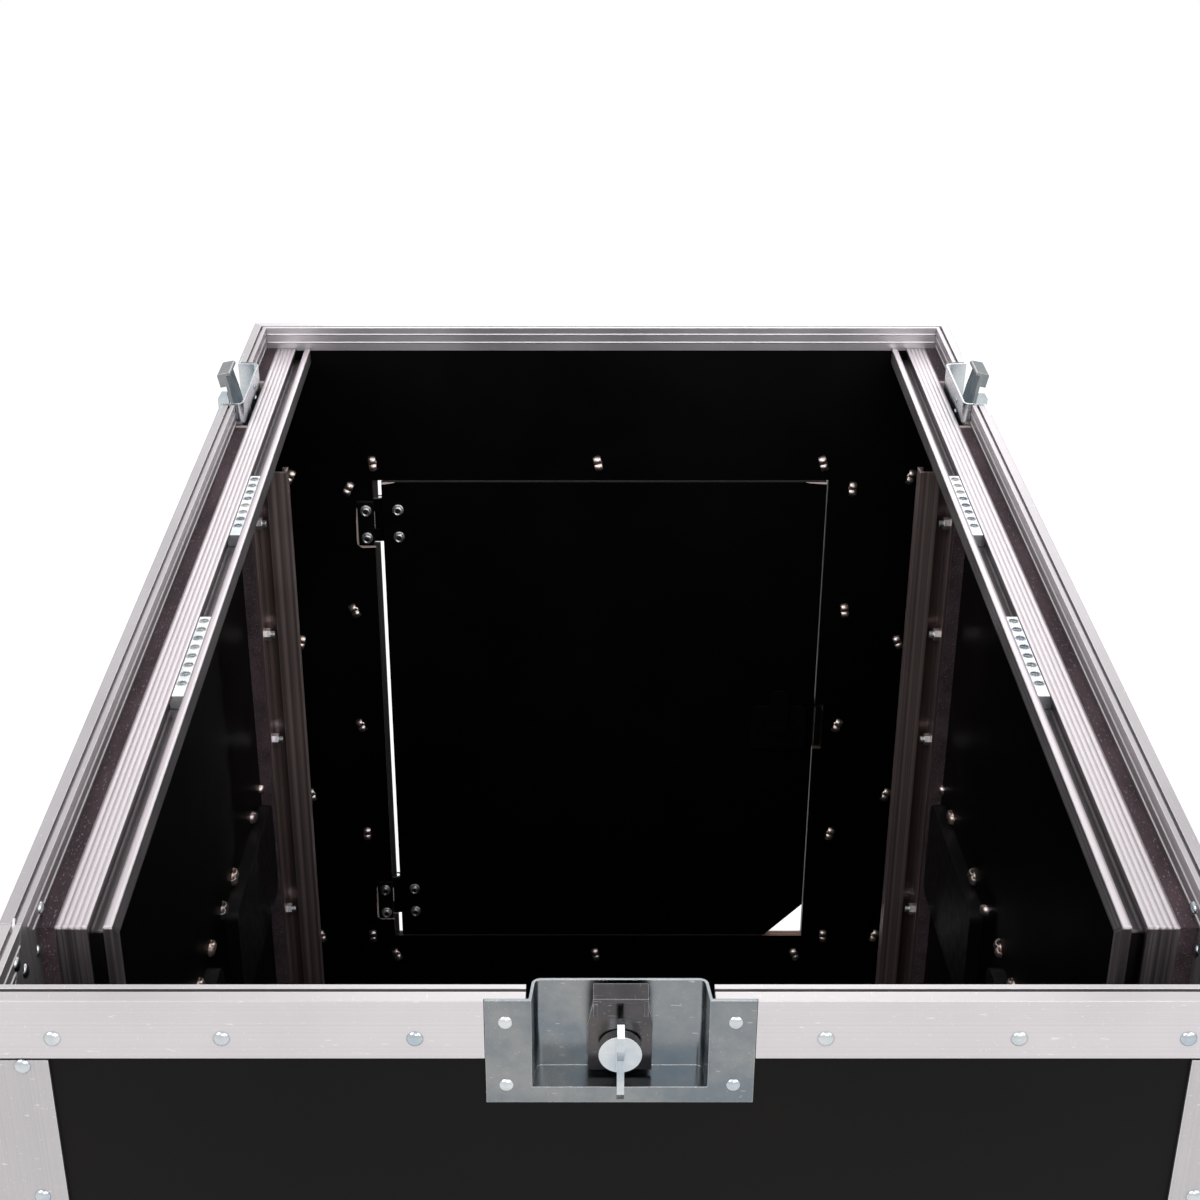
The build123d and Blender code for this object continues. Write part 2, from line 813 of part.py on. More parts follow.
def front_valance():
    inner = front_recess - seat_gap
    low_corner = Vector(half_in, 0, foot_height + wall)
    upright = valance((half_in, 0, 0), (1, 0, 0), (0, 1, 0), 0, bend_z + wall * 6, inner)
    upright = trim(upright, top_corner, bisector(run_down, run_up))
    upright = trim(upright, low_corner, (1, 0, 1))
    upright -= lid_latch["right"] * edge_cut(dish_height)
    sill_corner = (0, 0, foot_height + wall)
    sill = valance(sill_corner, (0, 0, -1), (0, 1, 0), -half_out, half_out, inner, inner)
    sill = trim(sill, low_corner, (-1, 0, -1))
    sill = trim(sill, mirrored_point(low_corner), (1, 0, -1))
    return group(upright, mirrored(upright), sill)


lid_back = -parting_gap


def lid_rear_valance():
    inner = front_recess - seat_gap
    outer = outer_leg
    low_corner = Vector(half_in, lid_back, foot_height + wall)
    foot = (half_in, lid_back, 0)
    far = -bend_z - wall * 6
    upright = valance(foot, (1, 0, 0), (0, -1, 0), far, 0, inner, outer, tongue=True)
    corner = Vector(0, lid_back, on_top(lid_back))
    upright = trim(upright, corner, bisector(run_down, -run_up))
    upright = trim(upright, low_corner, (1, 0, 1))
    upright -= lid_keeper["right"] * mirror(edge_cut(keeper_height), about=Plane.XY)
    half = half_out
    sill_corner = (0, lid_back, foot_height + wall)
    sill = valance(sill_corner, (0, 0, -1), (0, -1, 0), -half, half, inner, outer, tongue=True)
    sill = trim(sill, low_corner, (-1, 0, -1))
    sill = trim(sill, mirrored_point(low_corner), (1, 0, -1))
    return group(upright, mirrored(upright), sill)


def lid_top_valance():
    corner = Vector(half_in, 0, 0) + bend + latch_tilt * rail_recess
    inner = rail_recess - seat_gap
    front_in = -lid_depth + wall
    side = valance(corner, (1, 0, 0), -latch_tilt, -lid_depth * 2, 0, inner)
    back = Vector(0, lid_back, on_top(lid_back))
    side = trim(side, back, bisector(-run_up, run_down))
    side = trim(side, (half_in, front_in, 0), (1, 1, 0))
    strip = valance((0, front_in, on_top(front_in)), (0, -1, 0), (0, 0, -1), 0, half_out, inner)
    strip = trim(strip, top_corner, -latch_tilt)
    strip = trim(strip, (half_in, front_in, 0), (-1, -1, 0))
    strip -= centre_latch * edge_cut(dish_height)
    return group(side, mirrored(side), strip, mirrored(strip))


# Plain angles on the remaining edges, and the corner caps


def angle(corner, first, second, start, end):
    # An angle whose legs run from the corner along first and second.
    first = Vector(*first)
    plane = Plane(origin=corner, x_dir=first, z_dir=first.cross(Vector(*second)))
    far = angle_leg
    outline = [(0, 0), (far, 0), (far, leg), (leg, leg), (leg, far), (0, far)]
    return bar(outline, plane, start, end)


def edge_angles():
    low = foot_height
    side = angle((half_out, 0, low), (0, 0, 1), (-1, 0, 0), -rear_out, -outer_leg)
    rear = angle((0, rear_out, low), (0, 0, 1), (0, -1, 0), -half_out, half_out)
    post_top = on_top(rear_out) + wall
    post = angle((half_out, rear_out, 0), (-1, 0, 0), (0, -1, 0), low, post_top)
    under_leg = Vector(0, 0, on_top(0, outer_leg))
    post = trim(post, under_leg, -latch_tilt)
    strip_low = on_top(rear_out) - outer_leg
    post -= block(-half_out, half_out, rear_out - leg, rear_out + cut_over, strip_low, post_top)
    rear = rear - side - mirrored(side)
    post = post - side - rear
    return group(side, mirrored(side), rear, post, mirrored(post))


def lid_edge_angles():
    low = foot_height
    front = -lid_depth
    sill = angle((0, front, low), (0, 0, 1), (0, 1, 0), -half_out, half_out)
    post = angle((half_out, front, 0), (-1, 0, 0), (0, 1, 0), -bend_z - wall * 6, -low)
    post = trim(post, Vector(0, 0, on_top(0, outer_leg)), -latch_tilt)
    strip_low = on_top(front + wall) - outer_leg
    post -= block(-half_out, half_out, front - cut_over, front + leg, strip_low, bend_z * 2)
    post -= lid_keeper["right"] * mirror(edge_cut(keeper_height), about=Plane.XY)
    taken = lid_rear_valance()
    sill = sill - taken
    post = post - taken - sill
    return group(sill, post, mirrored(post))


def corner_cap(y, way):
    # A pressed cap with three round leaves and a ball, outside the case's corner.
    point = Vector(half_out, y, foot_height)
    reach = cap_reach + cap_sheet
    middle = Vector(-reach / 2 + cap_sheet, way * (reach / 2 - cap_sheet), reach / 2 - cap_sheet)
    cube = Pos(*(point + middle)) * Box(reach, reach, reach)
    leaves = cube & (Pos(*point) * Sphere(cap_reach))
    inset = ball_radius - ball_bulge
    ball = Pos(*(point + Vector(-inset, way * inset, inset))) * Sphere(ball_radius)
    far = cap_reach * 2
    near_y, far_y = sorted((y, y + way * far))
    inside = block(half_out - far, half_out, near_y, far_y, foot_height, foot_height + far)
    return leaves + ball - inside


def corner_caps():
    cap = corner_cap(rear_out, -1)
    return group(cap, mirrored(cap))


def lid_corner_caps():
    cap = corner_cap(-lid_depth, 1)
    cap -= block(0, half_out * 2, lid_back, rear_out, 0, bend_z)
    return group(cap, mirrored(cap))


# Front lid


def front_lid_panel():
    front_in = -lid_depth + wall
    low = foot_height + leg
    high = on_top(front_in) - web
    board = block(-panel_in, panel_in, lid_front_y, lid_front_y + panel, low, high)
    return board - centre_latch * panel_cut()


def front_lid_walls():
    back = lid_back - web
    outline = [
        (lid_front_y, foot_height + leg),
        (back, foot_height + leg),
        (back, on_top(back, web)),
        (lid_front_y, on_top(lid_front_y, web)),
    ]
    plane = Plane(origin=(panel_in, 0, 0), x_dir=(0, 1, 0), z_dir=(1, 0, 0))
    side = bar(outline, plane, 0, panel)
    side -= lid_keeper["right"] * mirror(panel_cut(), about=Plane.XY)
    low = foot_height + leg
    sill = block(-panel_in, panel_in, lid_front_y + panel, back, low, low + panel)
    return group(side, mirrored(side), sill)


# Feet and the bolts of the rear rails


def feet():
    top = foot_height + leg
    profile = [(0, 0), (foot_radius - foot_taper, 0), (foot_radius, top), (0, top)]
    solid = revolve(Plane.XZ * make_face(Polyline(*profile, close=True)), axis=Axis.Z)
    placed = []
    for x in (foot_inset - panel_in, panel_in - foot_inset):
        for y in (foot_inset, rear_in - foot_inset):
            placed.append(Pos(x, y, 0) * solid)
    return group(*placed)


def rear_rail_bolts():
    # Three bolts near the top of each rear rail's leg and one low down: each is a nut
    # with the thread's end standing out of it.
    nut_out = rail_outer - rail_floor
    nut = extrude(RegularPolygon(nut_radius, 6), amount=-nut_height)
    thread = extrude(Circle(bolt_radius), amount=-nut_height - bolt_end)
    head = Plane(origin=(nut_out, 0, 0), x_dir=(0, 1, 0), z_dir=(1, 0, 0))
    one = head * (nut + thread)
    across = rear_rail_y - (rail_leg + rail_cover) / 2
    drops = [bolt_from_top + index * bolt_spacing for index in range(upper_bolt_count)]
    drops.append(low_bolt_drop)
    placed = [Pos(0, across, rear_rail_top - drop) * one for drop in drops]
    return group(*placed, *[mirrored(bolt) for bolt in placed])


# The whole case

parts = {}
for side in ("left", "right"):
    parts["side_panel_" + side] = side_panel(side)
    parts["packer_" + side] = packer(side)
    parts["slanted_valance_" + side] = slanted_valance(side)
    for place, rail in (("slanted", slanted_rail), ("front", front_rail), ("rear", rear_rail)):
        parts[place + "_rail_" + side] = rail() if side == "right" else mirrored(rail())
    lower = threaded_strip(rail_face, lower_strip_offset)
    upper = threaded_strip(rail_face, upper_strip_offset)
    front = threaded_strip(front_rail_plane, -front_strip_drop - strip_length)
    for place, strip in (("lower", lower), ("upper", upper), ("front", front)):
        parts[place + "_strip_" + side] = strip if side == "right" else mirrored(strip)
    parts["side_latch_hook_" + side] = side_latch[side] * latch_hook(0)
    parts["side_latch_wing_" + side] = side_latch[side] * latch_wing()
    parts["lid_latch_hook_" + side] = lid_latch[side] * latch_hook(0)
    parts["lid_latch_wing_" + side] = lid_latch[side] * latch_wing()
    for end in handle_y:
        parts[end + "_handle_bail_" + side] = handle_plane(side, end) * handle_bail()

parts["rear_packers"] = group(rear_packer(), mirrored(rear_packer()))
parts["rear_panel"] = rear_panel()
parts["bottom_panel"] = bottom_panel()
parts["rear_valance"] = rear_valance()
parts["front_valance"] = front_valance()
parts["edge_angles"] = edge_angles()
parts["corner_caps"] = corner_caps()
parts["feet"] = feet()
parts["rear_rail_bolts"] = rear_rail_bolts()
dishes = [plane * latch_dish() for plane in (*side_latch.values(), *lid_latch.values())]
parts["latch_dishes"] = group(*dishes)
handles = [handle_plane(side, end) * handle_dish() for side in side_latch for end in handle_y]
parts["handle_dishes"] = group(*handles)

upper_hinge = hinge_leaf_pair(hinge_z["upper"])
lower_hinge = hinge_leaf_pair(hinge_z["lower"])
parts["hinge_frame_leaves"] = group(upper_hinge[0], lower_hinge[0])
parts["hinge_door_leaves"] = group(upper_hinge[1], lower_hinge[1])
parts["hinge_pins"] = group(upper_hinge[2], lower_hinge[2])
parts["door_frame_profile"] = door_frame_profile()
parts["rear_door_panel"] = rear_door_panel()
parts["door_strike"] = door_strike()
parts["door_latch_dish"] = door_latch_dish()
parts["door_latch_handle"] = door_latch_handle()
parts["door_latch_cam"] = door_latch_cam()

parts["front_lid_panel"] = front_lid_panel()
parts["front_lid_walls"] = front_lid_walls()
parts["lid_rear_valance"] = lid_rear_valance()
parts["lid_top_valance"] = lid_top_valance()
parts["lid_edge_angles"] = lid_edge_angles()
parts["lid_corner_caps"] = lid_corner_caps()
parts["lid_keepers"] = group(*[plane * keeper_dish() for plane in lid_keeper.values()])
parts["centre_latch_dish"] = centre_latch * latch_dish()
parts["centre_latch_hook"] = centre_latch * latch_hook(-hook_travel)
parts["centre_latch_wing"] = centre_latch * latch_wing()

# The origin is the middle of the whole case's footprint, on the ground.
boxes = [part.bounding_box() for part in parts.values()]
low_y = min(box.min.Y for box in boxes)
high_y = max(box.max.Y for box in boxes)
shift = -(low_y + high_y) / 2

os.makedirs("parts", exist_ok=True)
for name, part in parts.items():
    export_step(Pos(0, shift, 0) * part, "parts/" + name + ".step")
print("parts", len(parts), "shift in Y", round(shift, 4), "from", low_y, "to", high_y)
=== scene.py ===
import bpy
import bmesh
import math
import random
from mathutils import Matrix, Vector


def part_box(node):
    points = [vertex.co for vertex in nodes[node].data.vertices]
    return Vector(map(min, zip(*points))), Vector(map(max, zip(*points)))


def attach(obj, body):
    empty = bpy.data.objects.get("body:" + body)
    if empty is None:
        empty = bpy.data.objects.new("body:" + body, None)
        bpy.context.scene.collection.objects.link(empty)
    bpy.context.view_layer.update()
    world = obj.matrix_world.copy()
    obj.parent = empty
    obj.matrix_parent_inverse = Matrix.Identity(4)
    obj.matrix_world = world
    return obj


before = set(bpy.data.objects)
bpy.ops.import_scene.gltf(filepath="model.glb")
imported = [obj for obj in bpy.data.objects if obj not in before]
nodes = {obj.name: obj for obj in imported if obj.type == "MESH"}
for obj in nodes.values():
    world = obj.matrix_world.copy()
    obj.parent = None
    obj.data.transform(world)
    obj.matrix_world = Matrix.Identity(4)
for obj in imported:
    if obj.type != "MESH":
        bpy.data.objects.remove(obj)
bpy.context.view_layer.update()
print("frame loaded, nodes:", len(nodes))

mm = 0.001
toRear = Vector((0, 1, 0))
toFront = Vector((0, -1, 0))
up = Vector((0, 0, 1))

# The case's frame: the bend where the front meets the slope, and its outer faces
caseFrame = {
    "slope": math.radians(5.6),
    "bend": Vector((0, -0.311, 0.5785)),
    "recess": 16 * mm,  # the rails lie this far below the rim
    "parting": -0.329,  # where the front lid meets the case
    "lidGap": 0.3 * mm,
    "ground": 25 * mm,
    "sheet": 1.5 * mm,
    "wall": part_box("slanted_valance_right")[1].x,
    "panel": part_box("side_panel_right")[1].x,
    "rear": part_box("door_frame_profile")[1].y,
    "lid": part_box("lid_edge_angles")[0].y,
}
slopeUp = Vector((0, math.cos(caseFrame["slope"]), math.sin(caseFrame["slope"])))
slopeOut = Vector((0, -math.sin(caseFrame["slope"]), math.cos(caseFrame["slope"])))


def rimHeight(y):
    rise = (y - caseFrame["bend"].y) * math.tan(caseFrame["slope"])
    return caseFrame["bend"].z + caseFrame["recess"] / math.cos(caseFrame["slope"]) + rise


# Camera, set from the photograph's vanishing points
view = {
    "place": (-0.0171, -0.9807, 1.0408),
    "downAngle": 24.3,
    "lens": 54.0,
    "sensor": 36.0,
    "shift": 0.0175,
    "reach": 50,
}

cameraData = bpy.data.cameras.new("studioCamera")
cameraData.lens = view["lens"]
cameraData.sensor_width = view["sensor"]
cameraData.shift_x = view["shift"]
cameraData.clip_end = view["reach"]
camera = bpy.data.objects.new("studioCamera", cameraData)
camera.location = view["place"]
camera.rotation_euler = (math.radians(90 - view["downAngle"]), 0, 0)
bpy.context.scene.collection.objects.link(camera)
bpy.context.scene.camera = camera

# World and lamps
studio = {
    "worldStrength": 0.30,
    "lamps": [
        # name, place, aim, size, power
        ("keyLamp", (-1.6, -1.4, 2.6), (0, 0, 0.45), 1.6, 26),
        ("fillLamp", (1.9, -1.0, 2.2), (0, 0, 0.45), 1.8, 17),
        ("backLamp", (0.2, 2.4, 2.3), (0, 0, 0.5), 1.6, 13),
        ("frontLamp", (0.5, -2.3, 1.9), (0, 0.3, 0.55), 1.2, 16),
    ],
}


def linkNodes(tree, *pairs):
    for source, target in pairs:
        tree.links.new(source, target)


def feed(tree, node, values):
    for label, value in values.items():
        if isinstance(value, bpy.types.NodeSocket):
            tree.links.new(value, node.inputs[label])
        else:
            node.inputs[label].default_value = value


def addNode(tree, kind, values):
    node = tree.nodes.new(kind)
    feed(tree, node, values)
    return node


def mathNode(tree, operation, first, second=None):
    node = tree.nodes.new("ShaderNodeMath")
    node.operation = operation
    for socket, value in zip(node.inputs, (first, second)):
        if isinstance(value, (int, float)):
            socket.default_value = value
        elif value is not None:
            tree.links.new(value, socket)
    return node.outputs[0]


def mapValue(tree, value, low, high, toLow, toHigh):
    ends = {"From Min": low, "From Max": high, "To Min": toLow, "To Max": toHigh}
    return addNode(tree, "ShaderNodeMapRange", {"Value": value, **ends}).outputs["Result"]


def seenDirectly(tree):
    # 1 for rays that the camera, metal or glass sends, 0 for light on other surfaces
    path = tree.nodes.new("ShaderNodeLightPath")
    seen = mathNode(tree, "MAXIMUM", path.outputs["Is Camera Ray"], path.outputs["Is Glossy Ray"])
    return mathNode(tree, "MAXIMUM", seen, path.outputs["Is Transmission Ray"])


def setUpWorld():
    world = bpy.data.worlds.new("studioWorld")
    bpy.context.scene.world = world
    world.use_nodes = True
    tree = world.node_tree
    strength = mapValue(tree, seenDirectly(tree), 0.0, 1.0, studio["worldStrength"], 1.0)
    feed(tree, tree.nodes["Background"], {"Color": (1, 1, 1, 1), "Strength": strength})


def addLamps():
    for name, place, aim, size, power in studio["lamps"]:
        data = bpy.data.lights.new(name, "AREA")
        data.shape = "SQUARE"
        data.size = size
        data.energy = power
        lamp = bpy.data.objects.new(name, data)
        lamp.location = place
        lamp.rotation_euler = (Vector(aim) - Vector(place)).to_track_quat("-Z", "Y").to_euler()
        bpy.context.scene.collection.objects.link(lamp)


setUpWorld()
addLamps()
bpy.context.scene.view_settings.view_transform = "Standard"
print("camera, world and lamps ready")


# Material building blocks. In the dictionaries below a noise is given by its scale, detail
# and roughness, a range by from low, from high, to low and to high, and a bump by its
# strength and depth.


def newGroup(name, inputs, outputs):
    tree = bpy.data.node_groups.new(name, "ShaderNodeTree")
    for label, kind, value in inputs:
        socket = tree.interface.new_socket(name=label, in_out="INPUT", socket_type=kind)
        socket.default_value = value
    for label, kind in outputs:
        tree.interface.new_socket(name=label, in_out="OUTPUT", socket_type=kind)
    entry = tree.nodes.new("NodeGroupInput")
    leave = tree.nodes.new("NodeGroupOutput")
    return tree, entry, leave


def useGroup(tree, group, **values):
    node = tree.nodes.new("ShaderNodeGroup")
    node.node_tree = group
    feed(tree, node, values)
    return node.outputs


def addNoise(tree, vector, scale, detail, roughness):
    values = {"Vector": vector, "Scale": scale, "Detail": detail, "Roughness": roughness}
    return addNode(tree, "ShaderNodeTexNoise", values).outputs["Fac"]


def stretched(tree, vector, stretch, turn=(0, 0, 0)):
    values = {"Vector": vector, "Rotation": turn, "Scale": stretch}
    return addNode(tree, "ShaderNodeMapping", values).outputs["Vector"]


def mixColour(tree, factor, first, second):
    node = addNode(tree, "ShaderNodeMix", {"Factor": factor})
    node.data_type = "RGBA"
    for label, value in (("A", first), ("B", second)):
        socket = [s for s in node.inputs if s.name == label and s.type == "RGBA"][0]
        if isinstance(value, tuple):
            socket.default_value = value
        else:
            tree.links.new(value, socket)
    return [s for s in node.outputs if s.type == "RGBA"][0]


def bumpFrom(tree, height, strength, depth, **normal):
    values = {"Height": height, "Strength": strength, "Distance": depth, **normal}
    return addNode(tree, "ShaderNodeBump", values).outputs["Normal"]


# Rounded normals at the edges, and the edge mask that paints a highlight along them
edgeRoundingAndHighlight = {"radius": 0.4 * mm, "samples": 6, "range": (0.995, 0.8, 0.0, 1.0)}


def buildEdgeGroup():
    # An edge is near where the rounded normal leaves the flat one.
    tree, entry, leave = newGroup(
        "softEdge",
        [("Radius", "NodeSocketFloat", edgeRoundingAndHighlight["radius"])],
        [("Normal", "NodeSocketVector"), ("Edge", "NodeSocketFloat")],
    )
    bevel = tree.nodes.new("ShaderNodeBevel")
    bevel.samples = edgeRoundingAndHighlight["samples"]
    geometry = tree.nodes.new("ShaderNodeNewGeometry")
    dot = tree.nodes.new("ShaderNodeVectorMath")
    dot.operation = "DOT_PRODUCT"
    linkNodes(
        tree,
        (entry.outputs["Radius"], bevel.inputs["Radius"]),
        (bevel.outputs["Normal"], dot.inputs[0]),
        (geometry.outputs["True Normal"], dot.inputs[1]),
        (bevel.outputs["Normal"], leave.inputs["Normal"]),
        (mapValue(tree, dot.outputs["Value"], *edgeRoundingAndHighlight["range"]), leave.inputs["Edge"]),
    )
    return tree


sectionLines = {"lines": (1.0, 2.0, 0.5), "blotches": (9.0, 5.0, 0.6)}


def buildLinesGroup():
    # Fine lines along a drawn section, with slow blotches over them.
    tree, entry, leave = newGroup(
        "drawnLines",
        [
            ("Vector", "NodeSocketVector", (0, 0, 0)),
            ("Blotch", "NodeSocketFloat", sectionLines["blotches"][0]),
        ],
        [("Lines", "NodeSocketFloat"), ("Blotches", "NodeSocketFloat")],
    )
    place = tree.nodes.new("ShaderNodeTexCoord")
    lines = addNoise(tree, entry.outputs["Vector"], *sectionLines["lines"])
    blotches = addNoise(tree, place.outputs["Object"], *sectionLines["blotches"])
    linkNodes(
        tree,
        (entry.outputs["Blotch"], blotches.node.inputs["Scale"]),
        (lines, leave.inputs["Lines"]),
        (blotches, leave.inputs["Blotches"]),
    )
    return tree


scratches = {
    # turn, stretch and scale of each set of thin marks
    "sets": ((0.35, (1, 14, 4), 190), (-0.7, (12, 1, 5), 150)),
    "lean": 1.7,
    "detail": 1.0,
    "roughness": 0.5,
    "range": (0.71, 0.78, 0.0, 1.0),
    "amount": 0.5,
}


def buildScratchGroup():
    # Sparse thin scratches in two directions, as handling leaves them.
    tree, entry, leave = newGroup(
        "handlingMarks",
        [
            ("Vector", "NodeSocketVector", (0, 0, 0)),
            ("Amount", "NodeSocketFloat", scratches["amount"]),
        ],
        [("Marks", "NodeSocketFloat")],
    )
    found = []
    for turn, stretch, scale in scratches["sets"]:
        turns = (turn, turn * scratches["lean"], turn)
        vector = stretched(tree, entry.outputs["Vector"], stretch, turns)
        noise = addNoise(tree, vector, scale, scratches["detail"], scratches["roughness"])
        found.append(mapValue(tree, noise, *scratches["range"]))
    marks = mathNode(tree, "MAXIMUM", found[0], found[1])
    marks = mathNode(tree, "MULTIPLY", marks, entry.outputs["Amount"])
    tree.links.new(marks, leave.inputs["Marks"])
    return tree


creviceShade = {"distance": 12 * mm, "power": 2.0, "samples": 6}


def buildCreviceGroup():
    # Near 1 in narrow gaps and channels, 0 on open faces.
    tree, entry, leave = newGroup(
        "crevice",
        [
            ("Distance", "NodeSocketFloat", creviceShade["distance"]),
            ("Power", "NodeSocketFloat", creviceShade["power"]),
        ],
        [("Depth", "NodeSocketFloat")],
    )
    occlusion = tree.nodes.new("ShaderNodeAmbientOcclusion")
    occlusion.samples = creviceShade["samples"]
    tree.links.new(entry.outputs["Distance"], occlusion.inputs["Distance"])
    openness = mathNode(tree, "POWER", occlusion.outputs["AO"], entry.outputs["Power"])
    tree.links.new(mathNode(tree, "SUBTRACT", 1.0, openness), leave.inputs["Depth"])
    return tree


def buildRegionGroup():
    # 1 inside the box whose sides lie Half away from Centre, 0 outside it.
    tree, entry, leave = newGroup(
        "boxRegion",
        [
            ("Vector", "NodeSocketVector", (0, 0, 0)),
            ("Centre", "NodeSocketVector", (0, 0, 0)),
            ("Half", "NodeSocketVector", (1, 1, 1)),
        ],
        [("Inside", "NodeSocketFloat")],
    )
    away = tree.nodes.new("ShaderNodeVectorMath")
    away.operation = "SUBTRACT"
    size = tree.nodes.new("ShaderNodeVectorMath")
    size.operation = "ABSOLUTE"
    past = tree.nodes.new("ShaderNodeVectorMath")
    past.operation = "SUBTRACT"
    split = tree.nodes.new("ShaderNodeSeparateXYZ")
    linkNodes(
        tree,
        (entry.outputs["Vector"], away.inputs[0]),
        (entry.outputs["Centre"], away.inputs[1]),
        (away.outputs[0], size.inputs[0]),
        (size.outputs[0], past.inputs[0]),
        (entry.outputs["Half"], past.inputs[1]),
        (past.outputs[0], split.inputs["Vector"]),
    )
    most = mathNode(tree, "MAXIMUM", split.outputs["X"], split.outputs["Y"])
    most = mathNode(tree, "MAXIMUM", most, split.outputs["Z"])
    tree.links.new(mathNode(tree, "LESS_THAN", most, 0.0), leave.inputs["Inside"])
    return tree


softEdge = buildEdgeGroup()
drawnLines = buildLinesGroup()
handlingMarks = buildScratchGroup()
crevice = buildCreviceGroup()
boxRegion = buildRegionGroup()


def newMaterial(name):
    material = bpy.data.materials.new(name)
    material.use_nodes = True
    tree = material.node_tree
    place = tree.nodes.new("ShaderNodeTexCoord")
    return material, tree, tree.nodes["Principled BSDF"], place.outputs["Object"]


def bareWithin(tree, place, spots, colour, bare):
    # The colour bare in the boxes of spots, each given by its centre and half size.
    for centre, half in spots:
        spot = useGroup(tree, boxRegion, Vector=place, Centre=centre, Half=half)["Inside"]
        colour = mixColour(tree, spot, colour, bare)
    return colour


def tinted(colour, tint):
    return tuple(part * share for part, share in zip(colour, tint)) + (1,)


aluminium = {
    "dark": (0.56, 0.535, 0.55, 1),
    "light": (0.70, 0.67, 0.685, 1),
    # the colour of scratches, and of the painted highlight along edges
    "edge": (0.90, 0.88, 0.89, 1),
    # near black, laid into gaps and channels: painted shade, partly grime
    "grimeAndShade": (0.03, 0.024, 0.026, 1),
    "metallic": 0.86,
    "roughness": (0.25, 0.75, 0.26, 0.40),
    "lineLength": 8.0,
    "lineWidth": 0.45 * mm,
    "lineTone": (0.3, 0.7, 0.0, 0.5),
    "blotch": 11.0,
    "blotchTone": (0.35, 0.7, 0.0, 0.4),
    "streakStretch": (0.12, 1 / 7),
    "streakRange": (0.42, 0.64),
    "streakLight": 2.1,
    "grimeAndShadeReach": 14 * mm,
    "grimeAndShadePower": 1.8,
    "grimeAndShadeFrom": 0.25,
    "grimeAndShadeFull": 0.95,
    "grimeAndShadeSpread": 0.25,
    "markDepth": 0.6,
    "bump": (0.05, 0.05 * mm),
}

# How a drawn section is marked where its own finish says nothing else, with painted shade and grime
# in its crevices and a painted highlight along its edges
plainWearAndLight = {
    "tint": (1, 1, 1),
    "radius": 0.5 * mm,
    "grimeAndShade": 0.45,
    "highlightAmount": 0.5,
    "streaks": 0.0,
    "marks": 0.5,
}

# along is the direction in which the section was drawn
aluminiumFinishes = {
    # The tints make lit and shaded copies of one aluminium, painted light: darker for the sloped and
    # upright sections, brighter for the rear valance
    "drawnAluminiumAlongX": {"along": "X"},
    "drawnAluminiumAlongY": {"along": "Y", "tint": (0.84, 0.83, 0.84)},
    "drawnAluminiumAlongZ": {"along": "Z", "tint": (0.8, 0.8, 0.8)},
    "paintedLightAluminiumAlongX": {"along": "X", "tint": (1.12, 1.12, 1.14), "grimeAndShade": 0.15},
    "railAluminiumAlongY": {
        "along": "Y",
        "tint": (1.04, 1.0, 1.02),
        "radius": 2.4 * mm,
        "grimeAndShade": 0.8,
        "highlightAmount": 0.08,
    },
    "frontRailAluminium": {
        "along": "Z",
        "tint": (0.42, 0.38, 0.4),
        "radius": 1.5 * mm,
        "grimeAndShade": 0.9,
        "highlightAmount": 0.2,
        "streaks": 0.8,
        "marks": 0.1,
    },
    "rearRailAluminium": {
        "along": "Z",
        "tint": (0.72, 0.57, 0.54),
        "radius": 0.8 * mm,
        "grimeAndShade": 0.55,
        "highlightAmount": 0.25,
        "streaks": 0.9,
        "marks": 0.1,
    },
}


